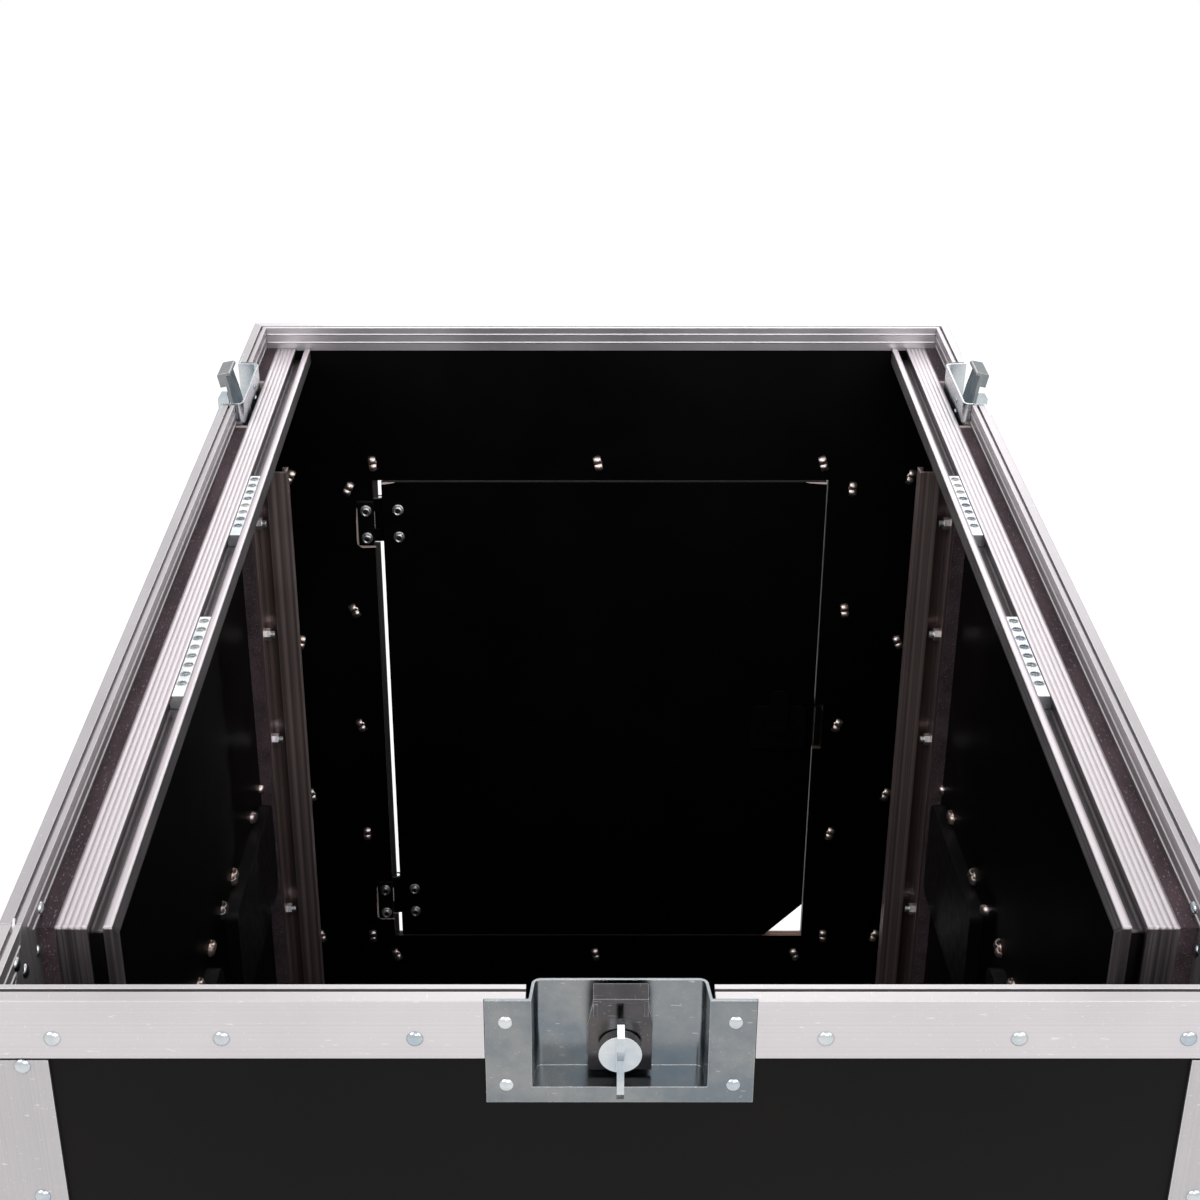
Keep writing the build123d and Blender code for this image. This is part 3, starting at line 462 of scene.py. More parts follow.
def makeAluminium(name, along, **own):
    wearAndLight = {**plainWearAndLight, **own}
    material, tree, shader, place = newMaterial(name)
    sizes = [aluminium["lineLength" if axis == along else "lineWidth"] for axis in "XYZ"]
    mapping = addNode(tree, "ShaderNodeMapping", {"Vector": place})
    mapping.vector_type = "TEXTURE"
    mapping.inputs["Scale"].default_value = sizes
    if along == "Y":
        mapping.inputs["Rotation"].default_value = (caseFrame["slope"], 0, 0)
    lined = mapping.outputs["Vector"]
    dark = tinted(aluminium["dark"], wearAndLight["tint"])
    light = tinted(aluminium["light"], wearAndLight["tint"])
    drawn = useGroup(tree, drawnLines, Vector=lined, Blotch=aluminium["blotch"])
    marks = useGroup(tree, handlingMarks, Vector=place, Amount=wearAndLight["marks"])["Marks"]
    edge = useGroup(tree, softEdge, Radius=wearAndLight["radius"])
    lineTone = mapValue(tree, drawn["Lines"], *aluminium["lineTone"])
    blotchTone = mapValue(tree, drawn["Blotches"], *aluminium["blotchTone"])
    colour = mixColour(tree, mathNode(tree, "ADD", lineTone, blotchTone), dark, light)
    if wearAndLight["streaks"]:
        longer, wider = aluminium["streakStretch"]
        broadly = stretched(tree, lined, [longer if axis == along else wider for axis in "XYZ"])
        broad = useGroup(tree, drawnLines, Vector=broadly)
        streak = mapValue(tree, broad["Lines"], *aluminium["streakRange"], 0.0, wearAndLight["streaks"])
        bright = tuple(min(1, aluminium["streakLight"] * part) for part in light[:3]) + (1,)
        colour = mixColour(tree, streak, colour, bright)
    # A painted highlight along the edges, with bright scratches over it
    edgeHighlight = mathNode(tree, "MULTIPLY", edge["Edge"], wearAndLight["highlightAmount"])
    colour = mixColour(tree, mathNode(tree, "MAXIMUM", edgeHighlight, marks), colour, aluminium["edge"])
    # Painted shade and grime in crevices and channels
    deep = useGroup(tree, crevice, Distance=aluminium["grimeAndShadeReach"], Power=aluminium["grimeAndShadePower"])
    full = aluminium["grimeAndShadeFull"] - aluminium["grimeAndShadeSpread"] * wearAndLight["grimeAndShade"]
    grimeAndShade = mapValue(tree, deep["Depth"], aluminium["grimeAndShadeFrom"], full, 0.0, wearAndLight["grimeAndShade"])
    colour = mixColour(tree, grimeAndShade, colour, aluminium["grimeAndShade"])
    rough = mapValue(tree, drawn["Blotches"], *aluminium["roughness"])
    cut = mathNode(tree, "MULTIPLY", marks, aluminium["markDepth"])
    height = mathNode(tree, "SUBTRACT", drawn["Lines"], cut)
    normal = bumpFrom(tree, height, *aluminium["bump"], Normal=edge["Normal"])
    feed(tree, shader, {"Base Color": colour, "Roughness": rough, "Normal": normal})
    shader.inputs["Metallic"].default_value = aluminium["metallic"]
    return material


zinc = {
    "cool": (0.40, 0.46, 0.51, 1),
    "warm": (0.64, 0.655, 0.66, 1),
    # the colour of scratches, and of the painted highlight along edges
    "edge": (0.92, 0.93, 0.94, 1),
    "cloud": (38.0, 4.0, 0.6),
    "cloudTone": (0.38, 0.64, 0.0, 1.0),
    "cloudRange": (0.3, 0.7),
    "roughness": (0.14, 0.34),
    "fine": (900.0, 2.0, 0.6),
    "bump": (0.1, 0.03 * mm),
    "edgeRadius": 0.4 * mm,
    "highlightAmount": 0.6,
    "marks": 0.2,
}

zincFinishes = {
    "zincPlate": {},
    "zincInShade": {"tint": (0.42, 0.42, 0.42)},
    # a zinc copy darkened further: painted deep shade on the centre latch's hook
    "centreHookZincInDeepShade": {"tint": (0.16, 0.14, 0.14)},
    "rivetSteel": {"tint": (1.3, 1.0, 0.88), "roughness": (0.3, 0.45)},
    "nutSteel": {"tint": (1.35, 1.25, 1.2), "roughness": (0.32, 0.5)},
    "stripSteel": {"tint": (1.5, 1.45, 1.42), "roughness": (0.3, 0.5)},
}


def makeZinc(name, tint=(1, 1, 1), roughness=zinc["roughness"]):
    material, tree, shader, place = newMaterial(name)
    cloud = addNoise(tree, place, *zinc["cloud"])
    fine = addNoise(tree, place, *zinc["fine"])
    marks = useGroup(tree, handlingMarks, Vector=place, Amount=zinc["marks"])["Marks"]
    edge = useGroup(tree, softEdge, Radius=zinc["edgeRadius"])
    tone = mapValue(tree, cloud, *zinc["cloudTone"])
    colour = mixColour(tree, tone, tinted(zinc["cool"], tint), tinted(zinc["warm"], tint))
    # A painted highlight along the edges, with bright scratches over it
    edgeHighlight = mathNode(tree, "MULTIPLY", edge["Edge"], zinc["highlightAmount"])
    colour = mixColour(tree, mathNode(tree, "MAXIMUM", edgeHighlight, marks), colour, zinc["edge"])
    rough = mapValue(tree, cloud, *zinc["cloudRange"], *roughness)
    normal = bumpFrom(tree, fine, *zinc["bump"], Normal=edge["Normal"])
    feed(tree, shader, {"Base Color": colour, "Roughness": rough, "Normal": normal})
    shader.inputs["Metallic"].default_value = 1.0
    return material


plywood = {
    "film": (0.0025, 0.0022, 0.0022, 1),
    "filmDull": (0.0055, 0.0045, 0.0042, 1),
    "filmCloud": (6.0, 4.0, 0.6),
    "filmTone": (0.35, 0.7, 0.0, 1.0),
    "filmRoughness": (0.3, 0.7, 0.36, 0.52),
    "filmMarks": 0.03,
    "markTone": (0.05, 0.045, 0.042, 1),
    "faceFrom": 0.9,
    "pimples": 1500.0,
    "bump": (0.12, 0.05 * mm),
    "specular": 0.1,
    "plies": 5,
    "plyRange": (0.35, 0.65, 0.0, 1.0),
    "veneerLight": (0.42, 0.27, 0.20, 1),
    "veneerDark": (0.16, 0.085, 0.06, 1),
    "grain": (420.0, 3.0, 0.6),
    "grainTone": (0.4, 0.7, 0.0, 0.5),
    # dark edges: partly a stain on the ply edges, partly painted shade in the narrow door gaps
    "stainAndGapShade": (0.012, 0.008, 0.007, 1),
    "stainAndGapShadeAmount": 0.96,
    # the inside of the case, where the film lies in deep shade
    "hollow": {"Centre": (0, 0.015, 0.25), "Half": (0.2612, 0.3575, 0.6)},
    "hollowTone": (0.0002, 0.0001, 0.0001, 1),
    "hollowAmount": 0.88,
}

# The axis that each panel's two filmed faces look along
panels = {
    "side_panel_left": "X",
    "side_panel_right": "X",
    "rear_panel": "Y",
    "bottom_panel": "Z",
    "rear_door_panel": "Y",
    "front_lid_panel": "Y",
}

# Centre and half size of the boxes in which later cuts left the plies bare: the notches
# of the hinges and the latch, and the corner for cables
bareSpots = {
    "rear_panel": [
        ((-0.1917, 0.374, 0.32), (0.0083, 0.01, 0.3)),
        ((0.1861, 0.374, 0.3127), (0.0035, 0.01, 0.03)),
        ((0.166, 0.374, 0.0997), (0.018, 0.01, 0.003)),
    ],
    "rear_door_panel": [((0.166, 0.374, 0.117), (0.02, 0.01, 0.02))],
}


def makePlywood(name, across, thickness, start, spots):
    # Black film on the faces that look along the axis across. The edges are darkened, partly as a
    # stain and partly as painted shade in the narrow gaps, but for the spots.
    material, tree, shader, place = newMaterial(name)
    looks = tree.nodes.new("ShaderNodeNewGeometry").outputs["True Normal"]
    turned = addNode(tree, "ShaderNodeSeparateXYZ", {"Vector": looks})
    facing = mathNode(tree, "ABSOLUTE", turned.outputs[across])
    onFace = mathNode(tree, "GREATER_THAN", facing, plywood["faceFrom"])

    split = addNode(tree, "ShaderNodeSeparateXYZ", {"Vector": place})
    depth = mathNode(tree, "SUBTRACT", split.outputs[across], start)
    layer = mathNode(tree, "MULTIPLY", depth, plywood["plies"] / thickness)
    ply = mapValue(tree, mathNode(tree, "PINGPONG", layer, 1.0), *plywood["plyRange"])
    veneer = mixColour(tree, ply, plywood["veneerLight"], plywood["veneerDark"])
    grain = mapValue(tree, addNoise(tree, place, *plywood["grain"]), *plywood["grainTone"])
    bare = mixColour(tree, grain, veneer, plywood["veneerDark"])
    edge = mixColour(tree, plywood["stainAndGapShadeAmount"], bare, plywood["stainAndGapShade"])
    edge = bareWithin(tree, place, spots, edge, bare)

    cloud = addNoise(tree, place, *plywood["filmCloud"])
    tone = mapValue(tree, cloud, *plywood["filmTone"])
    film = mixColour(tree, tone, plywood["film"], plywood["filmDull"])
    marks = useGroup(tree, handlingMarks, Vector=place, Amount=plywood["filmMarks"])["Marks"]
    film = mixColour(tree, marks, film, plywood["markTone"])
    hollow = useGroup(tree, boxRegion, Vector=place, **plywood["hollow"])["Inside"]
    shade = mathNode(tree, "MULTIPLY", hollow, plywood["hollowAmount"])
    film = mixColour(tree, shade, film, plywood["hollowTone"])

    colour = mixColour(tree, onFace, edge, film)
    rough = mapValue(tree, cloud, *plywood["filmRoughness"])
    pimples = addNode(tree, "ShaderNodeTexVoronoi", {"Vector": place, "Scale": plywood["pimples"]})
    normal = bumpFrom(tree, pimples.outputs["Distance"], *plywood["bump"])
    feed(tree, shader, {"Base Color": colour, "Roughness": rough, "Normal": normal})
    shader.inputs["Specular IOR Level"].default_value = plywood["specular"]
    return material


packer = {
    "dark": (0.05, 0.034, 0.042, 1),
    "brown": (0.11, 0.075, 0.085, 1),
    "cloud": (60.0, 4.0, 0.6),
    "cloudStretch": (1, 0.3, 1),
    "cloudTone": (0.35, 0.7, 0.0, 1.0),
    "fleck": (0.36, 0.29, 0.30, 1),
    "flecks": (1100.0, 2.0, 0.7),
    "fleckStretch": (1, 0.35, 1),
    "fleckTone": (0.6, 0.7, 0.0, 0.7),
    "roughness": 0.8,
    "specular": 0.25,
    "bump": (0.3, 0.15 * mm),
    # the two ends of each side latch's notch, where the packer was cut
    "cutBare": (0.62, 0.50, 0.48, 1),
    "cutMiddle": (0.255, 0.2632, 0.634),
    "cutReach": 38.5 * mm,
    "cutHalf": (0.02, 0.003, 0.06),
    # the bare rims are pale all over, brighter than bare veneer: a painted highlight on cut edges
    # facing the light
    "rimBareHighlight": (1.0, 0.8, 0.76, 1),
    "everywhere": ((0, 0, 0), (9, 9, 9)),
}


def packerCuts():
    x, y, z = packer["cutMiddle"]
    for side in (-1, 1):
        for end in (-packer["cutReach"], packer["cutReach"]):
            yield (side * x, y + end, z), packer["cutHalf"]


def makePackerWood(name, spots, bare):
    # Dark stained plywood edge with pale flecks, bare in the spots.
    material, tree, shader, place = newMaterial(name)
    flecks = addNoise(tree, stretched(tree, place, packer["fleckStretch"]), *packer["flecks"])
    cloud = addNoise(tree, stretched(tree, place, packer["cloudStretch"]), *packer["cloud"])
    tone = mapValue(tree, cloud, *packer["cloudTone"])
    colour = mixColour(tree, tone, packer["dark"], packer["brown"])
    colour = mixColour(tree, mapValue(tree, flecks, *packer["fleckTone"]), colour, packer["fleck"])
    colour = bareWithin(tree, place, spots, colour, bare)
    normal = bumpFrom(tree, flecks, *packer["bump"])
    feed(tree, shader, {"Base Color": colour, "Normal": normal})
    shader.inputs["Roughness"].default_value = packer["roughness"]
    shader.inputs["Specular IOR Level"].default_value = packer["specular"]
    return material


rubber = {
    "cloud": (90.0, 4.0, 0.6),
    "dustRange": (0.5, 0.75, 0.0, 0.5),
    "dust": (3.0, 2.9, 2.7),
    "roughness": 0.65,
    "fine": (1600.0, 2.0, 0.5),
    "bump": (0.2, 0.05 * mm),
}

rubberFinishes = {"footRubber": 0.02, "gripRubber": 0.012}


def makeRubber(name, tone):
    material, tree, shader, place = newMaterial(name)
    dust = mapValue(tree, addNoise(tree, place, *rubber["cloud"]), *rubber["dustRange"])
    plain = (tone, tone, tone, 1)
    colour = mixColour(tree, dust, plain, tinted(plain, rubber["dust"]))
    normal = bumpFrom(tree, addNoise(tree, place, *rubber["fine"]), *rubber["bump"])
    feed(tree, shader, {"Base Color": colour, "Normal": normal})
    shader.inputs["Roughness"].default_value = rubber["roughness"]
    return material


blackCoat = {
    # the colour of the painted highlight along edges
    "edge": (0.25, 0.25, 0.26, 1),
    "edgeRadius": 0.3 * mm,
    "cast": (1, 1, 1.1),
    "cloud": (120.0, 4.0, 0.6),
    "roughness": (0.3, 0.7, 0.35, 0.5),
}

blackFinishes = {
    "blackSteel": {"edgeHighlight": 0.35, "tone": 0.012, "gloss": 0.5},
    "dullBlackSteel": {"edgeHighlight": 0.06, "tone": 0.002, "gloss": 0.1},
    "dishBlack": {"edgeHighlight": 0.12, "tone": 0.004, "gloss": 0.25},
}


def makeBlackSteel(name, edgeHighlight, tone, gloss):
    material, tree, shader, place = newMaterial(name)
    edge = useGroup(tree, softEdge, Radius=blackCoat["edgeRadius"])
    # A painted highlight along the edges
    paintedEdgeHighlight = mathNode(tree, "MULTIPLY", edge["Edge"], edgeHighlight)
    coat = tinted((tone, tone, tone), blackCoat["cast"])
    colour = mixColour(tree, paintedEdgeHighlight, coat, blackCoat["edge"])
    rough = mapValue(tree, addNoise(tree, place, *blackCoat["cloud"]), *blackCoat["roughness"])
    feed(tree, shader, {"Base Color": colour, "Roughness": rough, "Normal": edge["Normal"]})
    shader.inputs["Specular IOR Level"].default_value = gloss
    return material


finishes = {}
for name, own in aluminiumFinishes.items():
    finishes[name] = makeAluminium(name, **own)
for name, own in zincFinishes.items():
    finishes[name] = makeZinc(name, **own)
for name, own in blackFinishes.items():
    finishes[name] = makeBlackSteel(name, **own)
for name, tone in rubberFinishes.items():
    finishes[name] = makeRubber(name, tone)
finishes["packerPlywood"] = makePackerWood("packerPlywood", packerCuts(), packer["cutBare"])
# Pale veneer on the rims and chips, brightened as a painted highlight
finishes["bareVeneerPaintedBright"] = makePackerWood("bareVeneerPaintedBright", [packer["everywhere"]], packer["rimBareHighlight"])
print("materials ready")


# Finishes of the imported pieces; a name without its side stands for the left and the right one
nodeFinishes = {
    "drawnAluminiumAlongX": ["lid_top_valance"],
    "drawnAluminiumAlongY": ["slanted_valance"],
    "drawnAluminiumAlongZ": [
        "front_valance",
        "edge_angles",
        "door_frame_profile",
        "lid_rear_valance",
        "lid_edge_angles",
    ],
    "paintedLightAluminiumAlongX": ["rear_valance"],
    "railAluminiumAlongY": ["slanted_rail"],
    "frontRailAluminium": ["front_rail"],
    "rearRailAluminium": ["rear_rail"],
    "packerPlywood": ["packer", "rear_packers"],
    "stripSteel": ["front_strip", "lower_strip", "upper_strip"],
    "nutSteel": ["rear_rail_bolts"],
    "zincPlate": [
        "latch_dishes",
        "side_latch_wing",
        "lid_latch_wing",
        "centre_latch_wing",
        "corner_caps",
        "lid_corner_caps",
        "lid_keepers",
        "hinge_pins",
    ],
    "zincInShade": ["side_latch_hook", "lid_latch_hook", "centre_latch_dish"],
    "centreHookZincInDeepShade": ["centre_latch_hook"],
    "blackSteel": ["front_handle_bail", "rear_handle_bail"],
    "dishBlack": ["handle_dishes"],
    "dullBlackSteel": [
        "hinge_frame_leaves",
        "hinge_door_leaves",
        "door_latch_dish",
        "door_latch_cam",
        "door_latch_handle",
        "door_strike",
    ],
    "footRubber": ["feet"],
}


def finishNode(name, material):
    piece = nodes[name]
    piece.data.materials.clear()
    piece.data.materials.append(material)


def finishPanels():
    for name, across in panels.items():
        low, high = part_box(name)
        index = "XYZ".index(across)
        thickness = high[index] - low[index]
        spots = bareSpots.get(name, ())
        finishNode(name, makePlywood("plywood_" + name, across, thickness, low[index], spots))
    # the lid's walls wear the same film as the side panel beside them
    finishNode("front_lid_walls", nodes["side_panel_right"].data.materials[0])


def finishPieces():
    for finish, names in nodeFinishes.items():
        for name in names:
            found = [name] if name in nodes else [name + "_left", name + "_right"]
            for node in found:
                finishNode(node, finishes[finish])


finishPanels()
finishPieces()
print("packed pieces finished")


# Small fasteners
meshing = {"weld": 1e-7, "sharpAngle": math.radians(35)}


def keepPiece(name, bm, finish, body):
    bmesh.ops.remove_doubles(bm, verts=bm.verts, dist=meshing["weld"])
    bmesh.ops.recalc_face_normals(bm, faces=bm.faces)
    data = bpy.data.meshes.new(name)
    bm.to_mesh(data)
    bm.free()
    for polygon in data.polygons:
        polygon.use_smooth = True
    data.set_sharp_from_angle(angle=meshing["sharpAngle"])
    piece = bpy.data.objects.new(name, data)
    piece.data.materials.append(finishes[finish])
    bpy.context.scene.collection.objects.link(piece)
    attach(piece, body)


def placed(point, outward, spin=0.0):
    # A frame at point whose z looks outward from the surface.
    turn = Vector(outward).normalized().to_track_quat("Z", "Y").to_matrix().to_4x4()
    return Matrix.Translation(point) @ turn @ Matrix.Rotation(spin, 4, "Z")


def geometryOf(verts):
    edges = dict.fromkeys(edge for vert in verts for edge in vert.link_edges)
    faces = dict.fromkeys(face for vert in verts for face in vert.link_faces)
    return list(verts) + list(edges) + list(faces)


def addRing(bm, base, radius, thick, around=18, section=5):
    # A wire of radius thick, bent into a ring about the z of base.
    upright = Matrix.Rotation(math.pi / 2, 4, "X") @ Matrix.Rotation(-math.pi / 2, 4, "Z")
    made = bmesh.ops.create_circle(
        bm,
        segments=section,
        radius=thick,
        matrix=base @ Matrix.Translation((radius, 0, 0)) @ upright,
    )
    bmesh.ops.spin(
        bm,
        geom=geometryOf(made["verts"]),
        cent=base.translation,
        axis=base.to_3x3() @ up,
        angle=2 * math.pi,
        steps=around,
        use_merge=True,
        use_duplicate=False,
    )


def addStud(bm, base, sides, radius, low, high, chamfer, steps):
    # A short round or hexagonal stud from low to high, with its upper rim eased.
    middle = (low + high) / 2
    made = bmesh.ops.create_cone(
        bm,
        cap_ends=True,
        segments=sides,
        radius1=radius,
        radius2=radius,
        depth=high - low,
        matrix=base @ Matrix.Translation((0, 0, middle)),
    )
    inward = base.inverted()
    top = [vert for vert in made["verts"] if (inward @ vert.co).z > middle]
    edges = dict.fromkeys(edge for vert in top for edge in vert.link_edges)
    rim = [edge for edge in edges if all(vert in top for vert in edge.verts)]
    bmesh.ops.bevel(
        bm, geom=rim, offset=chamfer, segments=steps, affect="EDGES", profile=0.5, material=-1
    )


def addRagged(bm, points, moves):
    # A row of points extruded into a strip, whose new points move by their own amounts.
    near = [bm.verts.new(point) for point in points]
    row = [bm.edges.new(pair) for pair in zip(near, near[1:])]
    made = bmesh.ops.extrude_edge_only(bm, edges=row)["geom"]
    for vert, move in zip(near, moves):
        ends = [edge.other_vert(vert) for edge in vert.link_edges]
        far = [end for end in ends if end in made][0]
        far.co += move


rivet = {
    "radius": 3.6 * mm,
    "height": 1.6 * mm,
    "round": (14, 8),
    "small": 0.9,  # share of the full size at the latches and handles
    # half the width and half the thickness of a prong, and the circle that it curls round
    "wide": 3.2 * mm,
    "thin": 1.3 * mm,
    "lift": 0.2 * mm,
    "curl": 2.6 * mm,
    "curlAngle": math.radians(205),
    "prongRound": (9, 6),
    "hub": 3.6 * mm,
    "hubFlat": 0.4,
    "hubRound": (10, 6),
}


def addRivetHead(bm, point, outward, size=1.0):
    around, over = rivet["round"]
    bmesh.ops.create_uvsphere(
        bm,
        u_segments=around,
        v_segments=over,
        radius=rivet["radius"] * size,
        matrix=placed(point, outward) @ Matrix.Diagonal((1, 1, rivet["height"] / rivet["radius"], 1)),
    )


def addRivetProngs(bm, point, outward, spin):
    # Two prongs curled away from each other, as a split rivet is clinched.
    corners, steps = rivet["prongRound"]
    lift = Vector((0, 0, rivet["lift"]))
    flat = Matrix.Diagonal((rivet["thin"] / rivet["wide"], 1, 1, 1))
    for side in (0, math.pi):
        base = placed(point, outward, spin + side)
        made = bmesh.ops.create_circle(
            bm,
            cap_ends=True,
            segments=corners,
            radius=rivet["wide"],
            matrix=base @ Matrix.Translation(lift) @ flat,
        )
        bmesh.ops.spin(
            bm,
            geom=geometryOf(made["verts"]),
            cent=base @ (lift + Vector((rivet["curl"], 0, 0))),
            axis=base.to_3x3() @ toRear,
            angle=rivet["curlAngle"],
            steps=steps,
            use_duplicate=False,
        )
    around, over = rivet["hubRound"]
    bmesh.ops.create_uvsphere(
        bm,
        u_segments=around,
        v_segments=over,
        radius=rivet["hub"],
        matrix=placed(point, outward) @ Matrix.Diagonal((1, 1, rivet["hubFlat"], 1)),
    )


nut = {
    "size": 0.95,
    "across": 8.0 * mm,
    "height": 3.4 * mm,
    "chamfer": 0.45 * mm,
    "washerRadius": 4.83 * mm,
    "washerHeight": 0.9 * mm,
    "washerChamfer": 0.2 * mm,
    "collarRadius": 2.9 * mm,
    "collarThick": 1.1 * mm,
    "collarRound": (20, 8),
    "washerSides": 24,
    "steps": 2,
}


def addNut(bm, point, outward, spin):
    # A locking nut on its washer: a hexagon with a round collar round the bolt's end.
    base = placed(point, outward, spin) @ Matrix.Scale(nut["size"], 4)
    collar = base @ Matrix.Translation((0, 0, nut["height"]))
    addRing(bm, collar, nut["collarRadius"], nut["collarThick"], *nut["collarRound"])
    studs = (
        # sides, radius, low, high, chamfer
        (nut["washerSides"], nut["washerRadius"], 0.0, nut["washerHeight"], nut["washerChamfer"]),
        (6, nut["across"] / math.sqrt(3), nut["washerHeight"], nut["height"], nut["chamfer"]),
    )
    for sides, radius, low, high, chamfer in studs:
        addStud(bm, base, sides, radius, low, high, chamfer * nut["size"], nut["steps"])


boltHead = {"rim": 0.7, "sides": 20, "steps": 3}


def addBoltHead(bm, point, outward, radius, height):
    # A low round head with a rounded rim.
    base = placed(point, outward)
    chamfer = height * boltHead["rim"]
    addStud(bm, base, boltHead["sides"], radius, 0.0, height, chamfer, boltHead["steps"])


# Rivets of the rear wall: heads outside, curled prongs inside
rearRivets = {
    "frameX": (-0.1815, -0.0020, 0.1775),
    "frameZ": (0.5500, 0.0796),
    "frameSideX": 0.2022,
    "frameSideZ": [0.5283 - step * 0.1072 for step in range(5)],
    "postX": 0.2482,
    "postZ": [0.5385 - step * 0.1463 for step in range(4)],
    "turn": 0.5,
    "seed": 5,
}


def addRearRivets():
    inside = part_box("rear_panel")[0].y
    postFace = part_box("edge_angles")[1].y
    around = [(x, z) for z in rearRivets["frameZ"] for x in rearRivets["frameX"]]
    for z in rearRivets["frameSideZ"]:
        around += [(side * rearRivets["frameSideX"], z) for side in (-1, 1)]
    posts = [(side * rearRivets["postX"], z) for z in rearRivets["postZ"] for side in (-1, 1)]
    heads = bmesh.new()
    prongs = bmesh.new()
    turns = random.Random(rearRivets["seed"])
    for x, z in around + posts:
        spin = math.pi / 2 + turns.uniform(-rearRivets["turn"], rearRivets["turn"])
        addRivetProngs(prongs, Vector((x, inside, z)), toFront, spin)
    for x, z in around:
        addRivetHead(heads, Vector((x, caseFrame["rear"], z)), toRear)
    for x, z in posts:
        addRivetHead(heads, Vector((x, postFace, z)), toRear)
    keepPiece("rearRivetProngs", prongs, "rivetSteel", "case")
    keepPiece("rearRivetHeads", heads, "zincPlate", "case")


# Rivets along the outer edges, each row by its places along its edge
edgeRivets = {
    "fromEdge": 19 * mm,
    "slopeRun": (0.060, 0.170, 0.280, 0.390, 0.490, 0.655),
    "frontZ": (0.080, 0.155, 0.225, 0.375, 0.450, 0.530),
    "rearX": (0.030, 0.130, 0.225),
    "sillY": (-0.260, -0.140, -0.020, 0.100, 0.220, 0.310),
    "lowX": (0.055, 0.165),
    "lidFrontZ": (0.085, 0.185, 0.285, 0.385, 0.485, 0.555),
    "lidTopX": (0.085, 0.165, 0.235),
}


def addEdgeRivets():
    heads = bmesh.new()
    inset = edgeRivets["fromEdge"]
    wall = caseFrame["wall"]
    rear = caseFrame["rear"] - caseFrame["sheet"]
    sill = caseFrame["ground"] + inset
    for side in (-1, 1):
        sideways = Vector((side, 0, 0))
        for run in edgeRivets["slopeRun"]:
            spot = caseFrame["bend"] + slopeUp * run + slopeOut * (caseFrame["recess"] - inset)
            addRivetHead(heads, spot + sideways * wall, sideways)
        for z in edgeRivets["frontZ"]:
            addRivetHead(heads, Vector((side * wall, caseFrame["parting"] + inset, z)), sideways)
        for x in edgeRivets["rearX"]:
            addRivetHead(heads, Vector((side * x, rear, rimHeight(rear) - inset)), toRear)
        for y in edgeRivets["sillY"]:
            addRivetHead(heads, Vector((side * wall, y, sill)), sideways)
        for x in edgeRivets["lowX"]:
            addRivetHead(heads, Vector((side * x, rear, sill)), toRear)
        for z in rearRivets["postZ"]:
            addRivetHead(heads, Vector((side * wall, rear - inset, z)), sideways)
    keepPiece("edgeRivetHeads", heads, "zincPlate", "case")


def addLidRivets():
    heads = bmesh.new()
    inset = edgeRivets["fromEdge"]
    wall = caseFrame["wall"]
    front = caseFrame["lid"]
    beside = caseFrame["parting"] - caseFrame["lidGap"] - inset
    for side in (-1, 1):
        for z in edgeRivets["lidFrontZ"]:
            addRivetHead(heads, Vector((side * (wall - inset), front, z)), toFront)
        for z in edgeRivets["frontZ"]:
            addRivetHead(heads, Vector((side * wall, beside, z)), Vector((side, 0, 0)))
        for x in edgeRivets["lidTopX"]:
            addRivetHead(heads, Vector((side * x, front, rimHeight(front) - inset)), toFront)
        for x in edgeRivets["lowX"]:
            spot = Vector((side * x, front, caseFrame["ground"] + inset))
            addRivetHead(heads, spot, toFront)
    keepPiece("lidRivetHeads", heads, "zincPlate", "front_lid")


cornerCap = {"rivetIn": 25 * mm, "sheet": 1.2 * mm}


def addCapRivets():
    heads = bmesh.new()
    lidHeads = bmesh.new()
    inset = cornerCap["rivetIn"]
    sheet = cornerCap["sheet"]
    wall = caseFrame["wall"]
    rear = caseFrame["rear"] - caseFrame["sheet"]
    z = caseFrame["ground"] + inset
    for side in (-1, 1):
        sideways = Vector((side, 0, 0))
        addRivetHead(heads, Vector((side * (wall + sheet), rear - inset, z)), sideways)
        addRivetHead(heads, Vector((side * (wall - inset), rear + sheet, z)), toRear)
        addRivetHead(
            lidHeads, Vector((side * (wall - inset), caseFrame["lid"] - sheet, z)), toFront
        )
    keepPiece("capRivetHeads", heads, "zincPlate", "case")
    keepPiece("lidCapRivetHeads", lidHeads, "zincPlate", "front_lid")


latch = {
    # middle of each side latch as seen from the side, and the way across the parting
    "places": [
        (caseFrame["bend"] + slopeUp * 0.57696 + slopeOut * caseFrame["recess"], slopeOut),
        (Vector((0, caseFrame["parting"], 0.300)), toFront),
    ],
    "centreTop": Vector((0, caseFrame["lid"], rimHeight(caseFrame["lid"] + caseFrame["sheet"]))),
    "flange": 1.5 * mm,
    "depth": 14 * mm,
    "along": 47.5 * mm,
    "down": (11 * mm, 43 * mm),
    "keeperAcross": 14 * mm,
    "backAlong": 12 * mm,
    "backDown": (8 * mm, 17 * mm),
    "backSize": 0.6,
    "centreBackDown": 12 * mm,
}


